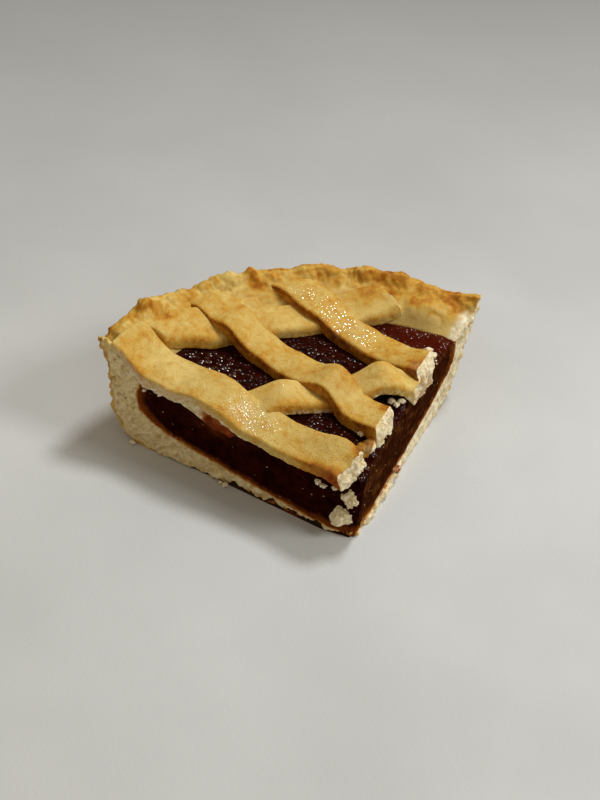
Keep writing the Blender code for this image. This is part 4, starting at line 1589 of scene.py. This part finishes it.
def build_loose_crumbs(material):
    shape = Shape()
    unit, faces = ball(LOOSE_CRUMB_FINENESS)
    kinds = ((DRY_CRUMBS, 0.0, 0.0), (WET_CRUMBS, 1.0, WET_STAIN),
             (SOAKED_CRUMBS, 1.0, SOAKED_STAIN))
    for crumbs, wash, stain in kinds:
        for radius, degrees, height, size in crumbs:
            middle = place(radius, math.radians(degrees), height)
            lumps = 1.0 + CRUMB_SHAPE_DEPTH * rough(unit + middle / size, *CRUMB_SHAPES)
            start = shape.count
            grain = middle + unit * CRUMB_SQUASH * (size * lumps)[:, None]
            grain[:, 2] = np.maximum(grain[:, 2], 0.0)
            shape.add(grain, wash=wash, stain=stain)
            shape.faces += (np.array(faces) + start).tolist()
    piece, points, _, fields = shape.build("loose_crumbs", material)
    blank = np.zeros(len(points))
    pores = smoothstep(rough(points, *LOOSE_CRUMB_PORES), 0.2, 0.9)
    # The crumbs get painted shade in their pores, and the wet crumbs are darker
    hollow = 0.5 * pores + 0.5 * fields["wash"]
    paint(piece, toast=blank + 0.2, crumb=blank + 0.8, hollow=hollow, **fields)
    return piece


# Camera, floor and light

CAMERA_TURN = math.radians(-25.6)
CAMERA_ELEVATION = math.radians(40.2)
CAMERA_ROLL = math.radians(9.8)
CAMERA_DISTANCE = 5.482 * RIM_RADIUS
CAMERA_LENS = 67.5
CAMERA_AIM = (-0.25 * RIM_RADIUS, 0.66 * RIM_RADIUS)
CAMERA_NEAREST = 0.01

# Turns a direction that the camera sees as left, right or away into the slice's frame
FROM_CAMERA = Matrix.Rotation(CAMERA_TURN, 3, "Z")

# The floor: how far it reaches, its colours, in what direction and over what distance painted
# shade darkens it, and its grain
FLOOR_REACH = 2.5
FLOOR_DARK = (0.53, 0.53, 0.515)
FLOOR_PALE = (0.59, 0.59, 0.575)
FLOOR_FAR_SHADE = (0.27, 0.265, 0.255)
FLOOR_AWAY = (0.20, 0.98)
FLOOR_FAR_SHADE_REACH = 0.46
FLOOR_PATCH_SCALE = 9.0
FLOOR_GRAIN_SCALE = 600.0
FLOOR_GRAIN_DEPTH = 0.0001
FLOOR_ROUGHNESS = 0.8
FLOOR_GLOSS = 0.2

# Studio light: the sky's colour and strength, the windows' colour, and each window's name,
# azimuth, elevation, distance, size and power
SKY = (1.0, 0.89, 0.73, 1.0)
SKY_STRENGTH = 0.36
WINDOW_COLOUR = (0.95, 0.98, 1.0)
WINDOWS = (
    ("window", math.radians(26.0), math.radians(63.0), 1.5, 0.32, 11.6),
    ("side_window", math.radians(92.0), math.radians(43.0), 1.4, 0.5, 8.0),
)


def set_camera():
    """The camera at the photograph's angle."""
    aim = FROM_CAMERA @ Vector((*CAMERA_AIM, 0.0)) + Vector((*TIP, 0.0))
    forward = Vector((0.0, math.cos(CAMERA_ELEVATION), -math.sin(CAMERA_ELEVATION)))
    right = Vector((1.0, 0.0, 0.0))
    upward = right.cross(forward)
    rolled_right = right * math.cos(CAMERA_ROLL) + upward * math.sin(CAMERA_ROLL)
    rolled_up = upward * math.cos(CAMERA_ROLL) - right * math.sin(CAMERA_ROLL)
    forward = FROM_CAMERA @ forward
    matrix = Matrix((FROM_CAMERA @ rolled_right, FROM_CAMERA @ rolled_up, -forward))
    matrix = matrix.transposed().to_4x4()
    matrix.translation = aim - forward * CAMERA_DISTANCE
    camera = add_object("camera", bpy.data.cameras.new("camera"))
    camera.matrix_world = matrix
    camera.data.lens = CAMERA_LENS
    camera.data.clip_start = CAMERA_NEAREST
    bpy.context.scene.camera = camera


def add_window(name, azimuth, elevation, distance, size, power):
    """A soft light, placed by its direction from the slice as the camera sees it."""
    level = math.cos(elevation)
    direction = FROM_CAMERA @ Vector((math.sin(azimuth) * level, math.cos(azimuth) * level,
                                      math.sin(elevation)))
    lamp = add_object(name, bpy.data.lights.new(name, "AREA"))
    lamp.location = direction * distance
    lamp.rotation_euler = direction.to_track_quat("Z", "Y").to_euler()
    lamp.data.shape = "DISK"
    lamp.data.size = size
    lamp.data.energy = power
    lamp.data.color = WINDOW_COLOUR


def floor_material():
    look = Finish("floor")
    patches = look.spread(look.noise(FLOOR_PATCH_SCALE, 4.0), 0.35, 0.65)
    colour = look.mix(patches, FLOOR_DARK, FLOOR_PALE)
    # Painted shade: the floor gets darker further back
    far = look.spread(look.away(*FLOOR_AWAY), 0.0, FLOOR_FAR_SHADE_REACH, 0.0, 0.95)
    colour = look.mix(far, colour, FLOOR_FAR_SHADE)
    grain = look.bump(look.noise(FLOOR_GRAIN_SCALE, 3.0), FLOOR_GRAIN_DEPTH)
    return look.finish(colour, FLOOR_ROUGHNESS, grain, FLOOR_GLOSS)


def set_stage():
    """A plain pale floor under soft studio light."""
    mesh = bpy.data.meshes.new("floor")
    signs = ((-1.0, -1.0), (1.0, -1.0), (1.0, 1.0), (-1.0, 1.0))
    corners = [(x * FLOOR_REACH, y * FLOOR_REACH, 0.0) for x, y in signs]
    mesh.from_pydata(corners, [], [(0, 1, 2, 3)])
    mesh.materials.append(floor_material())
    add_object("floor", mesh)

    bpy.context.scene.view_settings.view_transform = "Standard"
    world = bpy.data.worlds.new("studio")
    bpy.context.scene.world = world
    world.use_nodes = True
    background = world.node_tree.nodes["Background"]
    background.inputs["Color"].default_value = SKY
    background.inputs["Strength"].default_value = SKY_STRENGTH
    for window in WINDOWS:
        add_window(*window)


def dress(piece, slot, *nodes):
    """Makes a piece part of the slice, in place of its plain solid."""
    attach(piece, "root")
    if nodes:
        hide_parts(*nodes)


def main():
    crust = dough_material("crust_dough", warmth=0.0, grain=0.35)
    upper = dough_material("lattice_top_dough", warmth=0.02, grain=1.0)
    rear = dough_material("lattice_top_washed_dough", warmth=0.02, grain=1.0, drops=500.0,
                          steepness=0.27)
    lower = dough_material("lattice_lower_dough", warmth=0.0, grain=0.8)
    # The clumps and loose crumbs take more of the lighter crumb colour: painted light on clumps
    # that sit in the shade of the jam's left face
    crumb = dough_material("crumb_dough", warmth=0.0, grain=1.0, light_from=0.32)
    set_camera()
    set_stage()
    dress(build_crust(crust), "crust", "crust")
    dress(build_jam(jam_material()), "jam", "jam")
    for strip, material in zip(UPPER_STRIPS, (upper, upper, rear)):
        dress(strip.build(material), "lattice_top", strip.name)
    for strip in CROSS_STRIPS:
        dress(strip.build(lower), "lattice_lower", strip.name)
    for clump in CRUMB_CLUMPS:
        dress(build_clump(*clump, crumb), "crumb", clump[0])
    dress(build_loose_crumbs(crumb), "crumb")


main()
